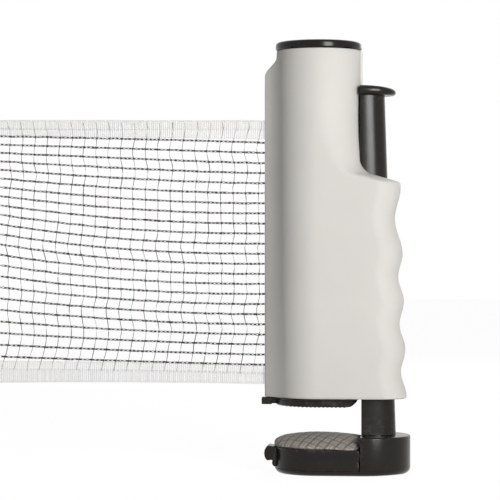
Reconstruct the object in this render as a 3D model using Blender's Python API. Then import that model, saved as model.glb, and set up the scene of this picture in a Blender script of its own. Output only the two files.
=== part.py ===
"""Clamp post of a table tennis net, with its net on a spring-return roller.

The table face is at Z = 0, under the upper jaw's pad. The tube that holds the roller stands on the
Z axis, the net leaves it towards -X, and the hand grip and the sliding column are on the +X side.
Sizes are in metres.
"""
import math

import bmesh
import bpy
from mathutils import Vector

# Fits
GAP = 0.0003                 # between pieces that touch
SLIDE_GAP = 0.0004           # round a piece that slides
TURN_GAP = 0.0003            # round a piece that turns
ARC_STEPS = 8                # facets in each quarter of a rounded plan
OVERCUT = 0.002              # how far a cutter runs past the face it opens

# Tube and its lip
TUBE_RADIUS = 0.0225
TUBE_WALL = 0.0022
HOUSING_TOP = 0.1888
LIP_DEPTH_LOW = 0.0080       # lip's edge from the tube's side, at the bottom
LIP_DEPTH_HIGH = 0.0064      # and at the top
LIP_TOP = 0.1774
LIP_HALF = 0.003
LIP_FILLET = 0.004
SLOT_WIDTH = 0.0020
SLOT_TOP = 0.158
RAIL_HALF = 0.0022           # rail on the tube that the column runs on
RAIL_HEIGHT = 0.0008

# Hand grip
GRIP_DEPTH = 0.0243          # foot of the grip, from the tube's side
GRIP_LEAN = 0.028
GRIP_CORNER = 0.013
FINGER_PITCH = 0.0255
FINGER_DEPTH = 0.0027
FINGERS = 3
FINGER_BANDS = 6
INDEX_PITCH = 0.0361         # the longer hollow under the lip
INDEX_DEPTH = 0.0036
LIP_ROUND = 0.002
SHELF_SLOPE = math.radians(16)
SHELF_FILLET = 0.009
BLEND_HEIGHT = 0.020         # the square grip turns round over this height of tube
SHELF_THICKNESS = 0.0035
GRIP_WALL = 0.0022
RIB_THICKNESS = 0.0018
RIB_INSET = 0.004            # first rib, from the column's flat side
RIB_PITCH = 0.0075

# Column and thumb plate
COLUMN_HALF = 0.010
COLUMN_CORNER = 0.0075
COLUMN_EDGE = 0.0012         # rounding of the flat side's edges
COLUMN_DEPTH_LOW = 0.0182    # from the flat side to the round one, at the jaw
COLUMN_DEPTH_HIGH = 0.0123   # and under the thumb plate
COLUMN_WALL = 0.0020
THUMB_BOTTOM = 0.1648
THUMB_THICKNESS = 0.0052
THUMB_OVERHANG = 0.0043
THUMB_HALF = 0.0130
THUMB_CORNER = 0.0105
THUMB_ROUND = 0.0018
CLAMP_TRAVEL = 0.032
FOOT_HEIGHT = 0.012          # solid end that the jaw screws bite into

# Upper jaw
UPPER_PAD_PROUD = 0.0003
UPPER_PAD_THICKNESS = 0.0022
UPPER_JAW_THICKNESS = 0.0038
UPPER_JAW_STEP = 0.0004      # the plate stands out past the tube
UPPER_JAW_SHORT = 0.0047     # and stops this far inside the tube's column side
UPPER_JAW_CHAMFER = 0.0042
UPPER_JAW_CORNER = 0.0030
UPPER_PAD_MARGIN = 0.0022
LIP_BLOCK_LENGTH = 0.0055
LIP_BLOCK_NECK = 0.0024
SPIGOT_HEIGHT = 0.0024
HUB_RADIUS = 0.005
HUB_HEIGHT = 0.0015

# Lower jaw
JAW_OPENING = 0.0144         # between the two pads with the clamp shut
JAW_STEP = 0.0005            # the jaw is wider than the tube on each side
JAW_TIP_STEP = 0.0013        # its tip stands out past the tube
JAW_HEEL_DEPTH = 0.0259      # heel of the block, from the column's flat side
BLOCK_TOP = -0.0157
JAW_BOTTOM = -0.0361
BASE_THICKNESS = 0.0028
BASE_ROUND = 0.0036
BLOCK_EDGE = 0.0008
JAW_WALL = 0.0026
WEB_HALF = 0.0072            # web between the jaw's two moulded hollows

# Pad carrier and lower pad
CARRIER_INSET = 0.0008
CARRIER_RIM = -0.0222
CARRIER_WALL = 0.0020
CARRIER_CORNER = 0.0006
NOSE_DEPTH = 0.0051
NOSE_HALF = 0.0070
PAD_BOW_LONG = 0.102         # radius of the pad's crown along X
PAD_BOW_WIDE = 0.038         # and along Y
PAD_FLAT = 0.016             # inset of the flat spot on the crown
PAD_RINGS = 5
PAD_SIDE_STEPS = 6
PAD_LEDGE = 0.0005           # the pad's edge stands in this far from the carrier's side

# Roller
AXLE_RADIUS = 0.0020
DRUM_RADIUS = 0.0080
DRUM_WALL = 0.0014
DRUM_TOP = 0.178
PLUG_FLANGE = 0.0012
PLUG_FLANGE_THICKNESS = 0.0015
PLUG_DEPTH = 0.006
ROLL_RADIUS = 0.0150
ARBOR_RADIUS = 0.0034
ARBOR_HEIGHT = 0.006
ARBOR_BOTTOM = 0.120

# Springs
CLAMP_WIRE = 0.0010
CLAMP_COIL = 0.0033          # mean radius
CLAMP_TURNS = 16
CLAMP_DEAD_PITCH = 0.0016    # pitch of the two closed end turns
SEAT_HEIGHT = 0.040
SEAT_THICKNESS = 0.0016
SEAT_HALF = 0.0030
SEAT_HOOK = 0.009            # leg inside the tube that holds the seat
SEAT_LENGTH = 0.0082         # tongue past the column's inner face
REWIND_WIRE = 0.0008
REWIND_COIL = 0.0046
REWIND_TURNS = 9
REWIND_PITCH = 0.0022
REWIND_LEG = 0.0030
TURN_POINTS = 8

# Top cap
CAP_THICKNESS = 0.0042
CAP_INSET = 0.0003
CAP_ROUND = 0.0016
SKIRT_DEPTH = 0.005
SKIRT_WALL = 0.0020
SOCKET_DEPTH = 0.006
SOCKET_RADIUS = 0.005
CAP_WEB = 0.0015

# Column guide
GUIDE_HEIGHT = 0.0060
GUIDE_INSET = 0.0038         # the guide's pocket, from the foot of the grip
GUIDE_RECESS = 0.0005

# Screws
SCREW_RADIUS = 0.0016
JAW_SCREW_HEAD = 0.0030
JAW_SCREW_HEAD_HEIGHT = 0.0022
JAW_SCREW_SINK = 0.0030
JAW_SCREW_SPACING = 0.0100
JAW_SCREW_BITE = 0.009
JAW_SCREW_PLACE = 0.0090     # from the column's flat side
PLATE_SCREW_RADIUS = 0.0011
PLATE_SCREW_HEAD = 0.0022
PLATE_SCREW_HEAD_HEIGHT = 0.0009
PLATE_SCREW_INSET = 0.0006   # screw centres, from the tube's outer face
PLATE_SCREW_ANGLE = math.radians(53.5)
PLATE_SCREW_BITE = 0.010
BOSS_RADIUS = 0.0030

# Net
NET_TOP = 0.1522
NET_BOTTOM = 0.0109
TAPE_THICKNESS = 0.0012
TAPE_FAR = 0.0081            # tape width at the far end
TAPE_NEAR = 0.0101           # and at the post
BOTTOM_RISE = 0.0013         # the bottom tape's lower edge rises this much to the far end
NET_LENGTH = 0.1567
NET_START_GAP = 0.0010       # between the net's inner end and the roll
NET_LIFT = 0.0072            # the rows crowd upwards at the far end
NET_STRAND = 0.0010
NET_COLUMNS = 17
NET_ROWS = 13
BAR_WIDTH = 0.006
BAR_HALF = 0.0022
BAR_OVER = 0.0025            # the bar stands past the net at both ends

# Places worked out from the sizes
BORE_RADIUS = TUBE_RADIUS - TUBE_WALL
LIP_REACH_LOW = TUBE_RADIUS + LIP_DEPTH_LOW
LIP_REACH_HIGH = TUBE_RADIUS + LIP_DEPTH_HIGH
GRIP_REACH = TUBE_RADIUS + GRIP_DEPTH
GUIDE_REACH = GRIP_REACH - GUIDE_INSET
UPPER_JAW_HALF = TUBE_RADIUS + UPPER_JAW_STEP
UPPER_JAW_REACH = TUBE_RADIUS - UPPER_JAW_SHORT
PLATE_SCREW_X = (TUBE_RADIUS - PLATE_SCREW_INSET) * math.cos(PLATE_SCREW_ANGLE)
PLATE_SCREW_Y = (TUBE_RADIUS - PLATE_SCREW_INSET) * math.sin(PLATE_SCREW_ANGLE)
NET_START = ROLL_RADIUS + NET_START_GAP
JAW_TOP = UPPER_PAD_PROUD + UPPER_JAW_THICKNESS
HOUSING_BOTTOM = JAW_TOP + GAP
COLUMN_FACE = TUBE_RADIUS + SLIDE_GAP
COLUMN_REACH_LOW = COLUMN_FACE + COLUMN_DEPTH_LOW
COLUMN_REACH_HIGH = COLUMN_FACE + COLUMN_DEPTH_HIGH
JAW_HALF = TUBE_RADIUS + JAW_STEP
JAW_TIP = TUBE_RADIUS + JAW_TIP_STEP
JAW_HEEL = COLUMN_FACE + JAW_HEEL_DEPTH
NOSE_REACH = JAW_TIP + NOSE_DEPTH
COLUMN_BOTTOM = BLOCK_TOP + GAP
PAD_CREST = -JAW_OPENING
BASE_TOP = JAW_BOTTOM + BASE_THICKNESS


# ---------------------------------------------------------------- scene and materials

def clear_scene():
    for thing in list(bpy.data.objects):
        bpy.data.objects.remove(thing, do_unlink=True)


def make_material(name, colour, roughness, metallic=0.0):
    material = bpy.data.materials.new(name)
    material.use_nodes = True
    shader = material.node_tree.nodes["Principled BSDF"]
    shader.inputs["Base Color"].default_value = (*colour, 1.0)
    shader.inputs["Roughness"].default_value = roughness
    shader.inputs["Metallic"].default_value = metallic
    material.diffuse_color = (*colour, 1.0)
    return material


def finish_mesh(bm, name, material=None):
    """Turn a bmesh into an object. Without a material it is a cutter."""
    bmesh.ops.remove_doubles(bm, verts=bm.verts, dist=1e-7)
    bmesh.ops.recalc_face_normals(bm, faces=bm.faces)
    mesh = bpy.data.meshes.new(name)
    bm.to_mesh(mesh)
    bm.free()
    thing = bpy.data.objects.new(name, mesh)
    bpy.context.scene.collection.objects.link(thing)
    if material:
        mesh.materials.append(material)
        mesh.shade_smooth()
        mesh.set_sharp_from_angle(angle=math.radians(35))
    else:
        thing.hide_render = True
        thing.display_type = "WIRE"
    return thing


# ---------------------------------------------------------------- shapes

def plan(left, right, half, left_corner, right_corner, height, side_steps=1):
    """A level outline, symmetric about Y = 0, with its own corner radius at each end."""
    corners = (
        (left + left_corner, half - left_corner, left_corner, 90),
        (left + left_corner, left_corner - half, left_corner, 180),
        (right - right_corner, right_corner - half, right_corner, 270),
        (right - right_corner, half - right_corner, right_corner, 0),
    )
    ring = []
    for x, y, radius, start in corners:
        for step in range(ARC_STEPS + 1):
            angle = math.radians(start + 90 * step / ARC_STEPS)
            ring.append(Vector((x + radius * math.cos(angle), y + radius * math.sin(angle), height)))
    if side_steps == 1:
        return ring
    stepped = []
    for i, point in enumerate(ring):
        stepped.append(point)
        if (i + 1) % (ARC_STEPS + 1) == 0:
            end = ring[(i + 1) % len(ring)]
            stepped += [point.lerp(end, step / side_steps) for step in range(1, side_steps)]
    return stepped


def loft(name, rings, material=None):
    """A closed body through level outlines that have the same number of points."""
    bm = bmesh.new()
    loops = [[bm.verts.new(point) for point in ring] for ring in rings]
    for low, high in zip(loops, loops[1:]):
        for i, corner in enumerate(low):
            j = (i + 1) % len(low)
            bm.faces.new((corner, low[j], high[j], high[i]))
    bm.faces.new(loops[0])
    bm.faces.new(loops[-1])
    bmesh.ops.remove_doubles(bm, verts=bm.verts, dist=1e-6)
    bmesh.ops.dissolve_degenerate(bm, dist=1e-6, edges=bm.edges)
    return finish_mesh(bm, name, material)


def extruded(name, outline, depth, material=None):
    """A closed outline pushed along a vector."""
    bm = bmesh.new()
    face = bm.faces.new([bm.verts.new(point) for point in outline])
    pushed = bmesh.ops.extrude_face_region(bm, geom=[face])["geom"]
    top = [item for item in pushed if isinstance(item, bmesh.types.BMVert)]
    bmesh.ops.translate(bm, verts=top, vec=depth)
    return finish_mesh(bm, name, material)


def box(name, low, high, material=None):
    outline = [(low[0], low[1], low[2]), (high[0], low[1], low[2]),
               (high[0], high[1], low[2]), (low[0], high[1], low[2])]
    return extruded(name, outline, (0, 0, high[2] - low[2]), material)


def turned(name, profile, material=None, centre=(0, 0), steps=4 * ARC_STEPS):
    """A profile of (radius, height) pairs, closed on itself or on the axis, spun about Z."""
    bm = bmesh.new()
    x, y = centre
    verts = [bm.verts.new((x + radius, y, height)) for radius, height in profile]
    edges = [bm.edges.new(pair) for pair in zip(verts, verts[1:])]
    if profile[0][0] > 0:
        edges.append(bm.edges.new((verts[-1], verts[0])))
    bmesh.ops.spin(bm, geom=verts + edges, cent=(x, y, 0), axis=(0, 0, 1), dvec=(0, 0, 0),
                   angle=2 * math.pi, steps=steps, use_merge=True, use_duplicate=False)
    bmesh.ops.remove_doubles(bm, verts=bm.verts, dist=1e-6)
    return finish_mesh(bm, name, material)


def rod(name, radius, bottom, top, material=None, centre=(0, 0), steps=4 * ARC_STEPS):
    return turned(name, [(0, bottom), (radius, bottom), (radius, top), (0, top)], material,
                  centre, steps)


def ring_solid(name, inner, outer, bottom, top, material=None):
    return turned(name, [(inner, bottom), (outer, bottom), (outer, top), (inner, top)], material)


def combine(piece, tool, operation):
    """Boolean one piece with a tool, which stays in the file as a hidden wire."""
    modifier = piece.modifiers.new(tool.name, "BOOLEAN")
    modifier.operation = operation
    modifier.solver = "EXACT"
    modifier.object = tool
    tool.hide_render = True
    tool.display_type = "WIRE"
    return piece


def cut(piece, *tools):
    for tool in tools:
        combine(piece, tool, "DIFFERENCE")
    return piece


def join(piece, *tools):
    for tool in tools:
        combine(piece, tool, "UNION")
    return piece


# ---------------------------------------------------------------- rules that several pieces share

def column_reach(height):
    """The round side of the column, which tapers from the jaw to the thumb plate."""
    share = (height - COLUMN_BOTTOM) / (THUMB_BOTTOM - COLUMN_BOTTOM)
    return COLUMN_REACH_LOW + (COLUMN_REACH_HIGH - COLUMN_REACH_LOW) * share


def column_plan(height, grow=0.0, reach_height=None):
    """The column's outline at a height, or a larger or smaller one round it."""
    reach = column_reach(height if reach_height is None else reach_height)
    return plan(COLUMN_FACE - grow, reach + grow, COLUMN_HALF + grow,
                max(COLUMN_EDGE + grow, 0.0004), COLUMN_CORNER + grow, height)


def index_start():
    return HOUSING_BOTTOM + FINGERS * FINGER_PITCH


def lip_height():
    return index_start() + INDEX_PITCH


def grip_reach(height):
    """The finger hollows: equal ones from the foot up, then the longer one under the lip."""
    crest = GRIP_REACH - GRIP_LEAN * (height - HOUSING_BOTTOM)
    if height <= index_start():
        turn = (height - HOUSING_BOTTOM) / FINGER_PITCH
        depth = FINGER_DEPTH
    else:
        turn = (height - index_start()) / INDEX_PITCH
        depth = INDEX_DEPTH
    return crest - depth * (1 - math.cos(2 * math.pi * turn)) / 2


def grip_profile():
    """(reach, height) up the grip's hollows, over its lip, along the shelf and up the tube."""
    bands = FINGERS * FINGER_BANDS
    heights = [HOUSING_BOTTOM + FINGER_PITCH * i / FINGER_BANDS for i in range(bands)]
    heights += [index_start() + INDEX_PITCH * i / 8 for i in range(9)]
    points = [(grip_reach(height), height) for height in heights]
    reach, height = points[-1][0] - LIP_ROUND, points[-1][1]
    for step in range(1, 4):
        angle = (math.pi / 2 - SHELF_SLOPE) * step / 3
        points.append((reach + LIP_ROUND * math.cos(angle), height + LIP_ROUND * math.sin(angle)))
    slope = Vector((math.sin(SHELF_SLOPE), math.cos(SHELF_SLOPE)))
    along = slope.dot(Vector(points[-1])) + SHELF_FILLET
    centre = (TUBE_RADIUS + SHELF_FILLET, 0)
    rise = (along - slope.x * centre[0]) / slope.y
    for step in range(7):
        angle = SHELF_SLOPE + (math.pi / 2 - SHELF_SLOPE) * step / 6
        points.append((centre[0] - SHELF_FILLET * math.sin(angle),
                       rise - SHELF_FILLET * math.cos(angle)))
    return points


def shelf_join():
    """Height at which the shelf's fillet meets the tube."""
    return grip_profile()[-1][1]


def corner_at(height):
    """The grip's corner opens out into the tube's full round above the shelf."""
    low = lip_height()
    high = shelf_join() + BLEND_HEIGHT
    share = min(max((height - low) / (high - low), 0.0), 1.0)
    share = share * share * (3 - 2 * share)
    return GRIP_CORNER + (TUBE_RADIUS - GRIP_CORNER) * share


def hollow_top():
    return lip_height() - SHELF_THICKNESS


def hollow_reach(height):
    return column_reach(height) + 2 * SLIDE_GAP


def grip_hollow_plan(height, reach, grow=0.0):
    inner = TUBE_RADIUS - GRIP_WALL
    corner = GRIP_CORNER - GRIP_WALL
    return plan(TUBE_RADIUS / 2, reach + grow, inner + grow, 0.0005, corner + grow, height)


# ---------------------------------------------------------------- housing

def lip_ring(height):
    """Outline of the net lip: parallel cheeks with a fillet into the tube on each side."""
    share = (height - HOUSING_BOTTOM) / (LIP_TOP - HOUSING_BOTTOM)
    tip = -(LIP_REACH_LOW + (LIP_REACH_HIGH - LIP_REACH_LOW) * share)
    side = LIP_HALF + LIP_FILLET
    centre_x = -math.sqrt((TUBE_RADIUS + LIP_FILLET) ** 2 - side ** 2)
    start = math.atan2(side, -centre_x)
    half = [(-(TUBE_RADIUS - TUBE_WALL / 2) * math.cos(start),
             (TUBE_RADIUS - TUBE_WALL / 2) * math.sin(start))]
    for step in range(5):
        angle = start + (math.pi / 2 - start) * step / 4
        half.append((centre_x + LIP_FILLET * math.cos(angle), side - LIP_FILLET * math.sin(angle)))
    edge = LIP_HALF / 2
    for step in range(4):
        angle = math.pi / 2 * step / 3
        half.append((tip + edge - edge * math.sin(angle), LIP_HALF - edge + edge * math.cos(angle)))
    ring = [Vector((x, y, height)) for x, y in half]
    ring += [Vector((x, -y, height)) for x, y in reversed(half)]
    return ring


def make_lip():
    """The lip runs the height of the tube and is cut off at 45 degrees at its top."""
    lip = loft("lip_tool", [lip_ring(HOUSING_BOTTOM), lip_ring(HOUSING_TOP)])
    top = Vector((-LIP_REACH_HIGH, 0, LIP_TOP))
    bm = bmesh.new()
    bm.from_mesh(lip.data)
    geometry = bm.verts[:] + bm.edges[:] + bm.faces[:]
    bmesh.ops.bisect_plane(bm, geom=geometry, plane_co=top, plane_no=(-1, 0, 1), clear_outer=True)
    bmesh.ops.holes_fill(bm, edges=[edge for edge in bm.edges if edge.is_boundary])
    bmesh.ops.recalc_face_normals(bm, faces=bm.faces)
    bm.to_mesh(lip.data)
    bm.free()
    return lip


def make_housing(material):
    rings = []
    profile = grip_profile()
    for reach, height in profile:
        corner = corner_at(height)
        rings.append(plan(-TUBE_RADIUS, reach, TUBE_RADIUS, TUBE_RADIUS, corner, height))
    for step in range(1, 5):
        height = profile[-1][1] + BLEND_HEIGHT * step / 4
        corner = corner_at(height)
        rings.append(plan(-TUBE_RADIUS, TUBE_RADIUS, TUBE_RADIUS, TUBE_RADIUS, corner, height))
    rings.append(plan(-TUBE_RADIUS, TUBE_RADIUS, TUBE_RADIUS, TUBE_RADIUS, TUBE_RADIUS, HOUSING_TOP))
    housing = loft("housing_body", rings, material)
    rail = box("rail_tool", (BORE_RADIUS + TUBE_WALL / 2, -RAIL_HALF, HOUSING_BOTTOM),
               (TUBE_RADIUS + RAIL_HEIGHT, RAIL_HALF, HOUSING_TOP))
    join(housing, make_lip(), rail)

    hollow = loft("hollow_tool", [
        grip_hollow_plan(HOUSING_BOTTOM - OVERCUT, hollow_reach(HOUSING_BOTTOM - OVERCUT)),
        grip_hollow_plan(hollow_top(), hollow_reach(hollow_top()))])
    tube_wall = rod("tube_wall_tool", TUBE_RADIUS, 0, HOUSING_TOP)
    cut(hollow, tube_wall)
    rib_bottom = HOUSING_BOTTOM + GUIDE_RECESS + GUIDE_HEIGHT + GAP
    rib_near = COLUMN_HALF + SLIDE_GAP
    for side in (-1, 1):
        for row in range(2):
            x = COLUMN_FACE + RIB_INSET + RIB_PITCH * row
            low, high = sorted((side * rib_near, side * (TUBE_RADIUS - GRIP_WALL / 2)))
            rib = box("rib_tool", (x, low, rib_bottom), (x + RIB_THICKNESS, high, HOUSING_TOP))
            cut(hollow, rib)
        boss = rod("boss_tool", BOSS_RADIUS, 0, 3 * PLATE_SCREW_BITE,
                   centre=(PLATE_SCREW_X, side * PLATE_SCREW_Y), steps=12)
        cut(hollow, boss)
    guide_pocket = loft("guide_pocket_tool", [
        grip_hollow_plan(HOUSING_BOTTOM - OVERCUT, GUIDE_REACH),
        grip_hollow_plan(rib_bottom, GUIDE_REACH)])
    cut(guide_pocket, tube_wall)
    for side in (-1, 1):
        boss = rod("boss_tool", BOSS_RADIUS, 0, 3 * PLATE_SCREW_BITE,
                   centre=(PLATE_SCREW_X, side * PLATE_SCREW_Y), steps=12)
        cut(guide_pocket, boss)

    channel_low = hollow_top() - OVERCUT
    channel_high = THUMB_BOTTOM
    channel = loft("channel_tool", [
        column_plan(channel_low, SLIDE_GAP, channel_low),
        column_plan(channel_high, SLIDE_GAP, channel_low)])
    rail_keep = box("rail_keep_tool", (0, -RAIL_HALF, 0),
                    (TUBE_RADIUS + RAIL_HEIGHT, RAIL_HALF, HOUSING_TOP))
    cut(channel, rail_keep)
    bore = rod("bore_tool", BORE_RADIUS, 0, HOUSING_TOP + OVERCUT)
    slot = box("slot_tool", (-LIP_REACH_LOW - OVERCUT, -SLOT_WIDTH / 2, 0),
               (-BORE_RADIUS + OVERCUT, SLOT_WIDTH / 2, SLOT_TOP))
    seat_slot = box("seat_slot_tool", (BORE_RADIUS - OVERCUT, -SEAT_HALF - GAP, SEAT_HEIGHT - GAP),
                    (COLUMN_FACE + OVERCUT, SEAT_HALF + GAP, SEAT_HEIGHT + SEAT_THICKNESS + GAP))
    cut(housing, hollow, guide_pocket, channel, bore, slot, seat_slot)
    for side in (-1, 1):
        pilot = rod("pilot_tool", PLATE_SCREW_RADIUS + GAP, 0,
                    HOUSING_BOTTOM + PLATE_SCREW_BITE + GAP,
                    centre=(PLATE_SCREW_X, side * PLATE_SCREW_Y), steps=12)
        cut(housing, pilot)
    return housing


def make_top_cap(material):
    """A cap with a skirt inside the tube and a socket that holds the axle."""
    outer = TUBE_RADIUS - CAP_INSET
    under = HOUSING_TOP + GAP
    top = under + CAP_THICKNESS
    skirt = BORE_RADIUS - GAP
    web = under - CAP_WEB
    profile = [(0, top), (outer - CAP_ROUND, top)]
    for step in range(1, 4):
        angle = math.pi / 2 * step / 3
        profile.append((outer - CAP_ROUND + CAP_ROUND * math.sin(angle),
                        top - CAP_ROUND + CAP_ROUND * math.cos(angle)))
    profile += [(outer, under), (skirt, under), (skirt, under - SKIRT_DEPTH),
                (skirt - SKIRT_WALL, under - SKIRT_DEPTH), (skirt - SKIRT_WALL, web),
                (SOCKET_RADIUS, web), (SOCKET_RADIUS, web - SOCKET_DEPTH),
                (AXLE_RADIUS + GAP, web - SOCKET_DEPTH), (AXLE_RADIUS + GAP, web), (0, web)]
    cap = turned("top_cap", profile, material)
    key = box("cap_key_tool", (BORE_RADIUS, -RAIL_HALF, under),
              (TUBE_RADIUS + RAIL_HEIGHT, RAIL_HALF, top - CAP_ROUND))
    return join(cap, key)


def make_upper_jaw(material):
    """The black plate under the housing, with the block that closes the bottom of the net slot."""
    low = UPPER_PAD_PROUD
    plate = loft("upper_jaw", [
        plan(-UPPER_JAW_HALF, UPPER_JAW_REACH, UPPER_JAW_HALF, UPPER_JAW_HALF, UPPER_JAW_CORNER, low),
        plan(-UPPER_JAW_HALF, UPPER_JAW_REACH + UPPER_JAW_CHAMFER, UPPER_JAW_HALF, UPPER_JAW_HALF,
             UPPER_JAW_CORNER, JAW_TOP)], material)
    neck = LIP_BLOCK_NECK / 2
    block_end = -LIP_REACH_LOW + LIP_BLOCK_LENGTH
    outline = [(-LIP_REACH_LOW, -LIP_HALF), (block_end, -LIP_HALF), (block_end, -neck),
               (-BORE_RADIUS, -neck), (-BORE_RADIUS, neck), (block_end, neck),
               (block_end, LIP_HALF), (-LIP_REACH_LOW, LIP_HALF)]
    block = extruded("lip_block_tool", [(x, y, low) for x, y in outline], (0, 0, JAW_TOP - low))
    spigot_top = JAW_TOP + SPIGOT_HEIGHT
    pocket = low + UPPER_PAD_THICKNESS - UPPER_PAD_PROUD + GAP
    floor = pocket + PLATE_SCREW_HEAD_HEIGHT
    spigot = turned("spigot_tool", [
        (0, floor), (BORE_RADIUS - GAP, floor), (BORE_RADIUS - GAP, spigot_top),
        (BORE_RADIUS - GAP - SKIRT_WALL, spigot_top), (BORE_RADIUS - GAP - SKIRT_WALL, JAW_TOP),
        (HUB_RADIUS, JAW_TOP), (HUB_RADIUS, spigot_top + HUB_HEIGHT), (0, spigot_top + HUB_HEIGHT)])
    pad_hole = loft("pad_hole_tool", [upper_pad_plan(low - OVERCUT, GAP), upper_pad_plan(pocket, GAP)])
    axle_hole = rod("axle_hole_tool", AXLE_RADIUS + GAP, JAW_TOP, HOUSING_TOP, steps=16)
    relief = box("spigot_relief_tool", (PLATE_SCREW_X - BOSS_RADIUS - GAP, -TUBE_RADIUS, JAW_TOP),
                 (TUBE_RADIUS, TUBE_RADIUS, HOUSING_TOP))
    cut(spigot, relief)
    join(plate, block, spigot)
    cut(plate, pad_hole, axle_hole)
    for side in (-1, 1):
        centre = (PLATE_SCREW_X, side * PLATE_SCREW_Y)
        sink = rod("sink_tool", PLATE_SCREW_HEAD + GAP, 0, floor + GAP, centre=centre, steps=16)
        hole = rod("screw_hole_tool", PLATE_SCREW_RADIUS + GAP, 0, JAW_TOP + OVERCUT,
                   centre=centre, steps=12)
        cut(plate, sink, hole)
    return plate


def upper_pad_plan(height, grow=0.0):
    half = UPPER_JAW_HALF - UPPER_PAD_MARGIN + grow
    right = UPPER_JAW_REACH - UPPER_PAD_MARGIN + grow
    return plan(-half, right, half, half, UPPER_JAW_CORNER / 2 + grow, height)


def make_upper_pad(material):
    return loft("upper_pad", [upper_pad_plan(0), upper_pad_plan(UPPER_PAD_THICKNESS)], material)


def make_column_guide(material):
    """A collar that closes the grip's foot and holds the column on three sides."""
    bottom = HOUSING_BOTTOM + GUIDE_RECESS
    top = bottom + GUIDE_HEIGHT
    guide = loft("column_guide", [
        grip_hollow_plan(bottom, GUIDE_REACH, -GAP), grip_hollow_plan(top, GUIDE_REACH, -GAP)], material)
    tube_wall = rod("guide_wall_tool", TUBE_RADIUS + GAP, 0, HOUSING_TOP)
    way = loft("guide_way_tool", [
        plan(0, column_reach(bottom) + SLIDE_GAP, COLUMN_HALF + SLIDE_GAP, COLUMN_EDGE,
             COLUMN_CORNER + SLIDE_GAP, height) for height in (0, HOUSING_TOP)])
    cut(guide, tube_wall, way)
    edge = PLATE_SCREW_X + BOSS_RADIUS + 2 * GAP
    notch = box("guide_notch_tool", (0, -TUBE_RADIUS, 0), (edge, TUBE_RADIUS, HOUSING_TOP))
    return cut(guide, notch)


# ---------------------------------------------------------------- column and lower jaw

def make_column(material):
    """The hollow column and its thumb plate, one moulding."""
    column = loft("clamp_column", [column_plan(COLUMN_BOTTOM), column_plan(THUMB_BOTTOM + GAP)], material)
    reach = COLUMN_REACH_HIGH + THUMB_OVERHANG
    top = THUMB_BOTTOM + THUMB_THICKNESS
    rings = []
    for base, sign in ((THUMB_BOTTOM, 1), (top, -1)):
        arc = []
        for step in range(4):
            angle = math.pi / 2 * step / 3
            inset = THUMB_ROUND * (1 - math.sin(angle))
            height = base + sign * THUMB_ROUND * (1 - math.cos(angle))
            arc.append(plan(COLUMN_FACE, reach - inset, THUMB_HALF - inset, COLUMN_EDGE,
                            THUMB_CORNER - inset, height))
        rings += arc if sign > 0 else reversed(arc)
    plate = loft("thumb_plate_tool", rings)
    join(column, plate)
    hollow_low = COLUMN_BOTTOM + FOOT_HEIGHT
    hollow = loft("column_hollow_tool", [
        column_plan(hollow_low, -COLUMN_WALL), column_plan(column_ceiling(), -COLUMN_WALL)])
    slot_low = SEAT_HEIGHT - SLIDE_GAP
    slot_high = SEAT_HEIGHT + SEAT_THICKNESS + CLAMP_TRAVEL + OVERCUT
    slot = box("column_slot_tool", (COLUMN_FACE - OVERCUT, -SEAT_HALF - 2 * SLIDE_GAP, slot_low),
               (COLUMN_FACE + COLUMN_WALL + OVERCUT, SEAT_HALF + 2 * SLIDE_GAP, slot_high))
    groove = box("rail_groove_tool", (0, -RAIL_HALF - SLIDE_GAP, COLUMN_BOTTOM - OVERCUT),
                 (TUBE_RADIUS + RAIL_HEIGHT + SLIDE_GAP, RAIL_HALF + SLIDE_GAP, top + OVERCUT))
    cut(column, hollow, slot, groove)
    for x, y in jaw_screw_places():
        pilot = rod("column_pilot_tool", SCREW_RADIUS + GAP, COLUMN_BOTTOM - OVERCUT,
                    COLUMN_BOTTOM + JAW_SCREW_BITE + GAP, centre=(x, y), steps=12)
        cut(column, pilot)
    return column


def column_ceiling():
    return THUMB_BOTTOM - COLUMN_WALL


def jaw_screw_places():
    x = COLUMN_FACE + JAW_SCREW_PLACE
    return [(x, -JAW_SCREW_SPACING / 2), (x, JAW_SCREW_SPACING / 2)]


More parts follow.
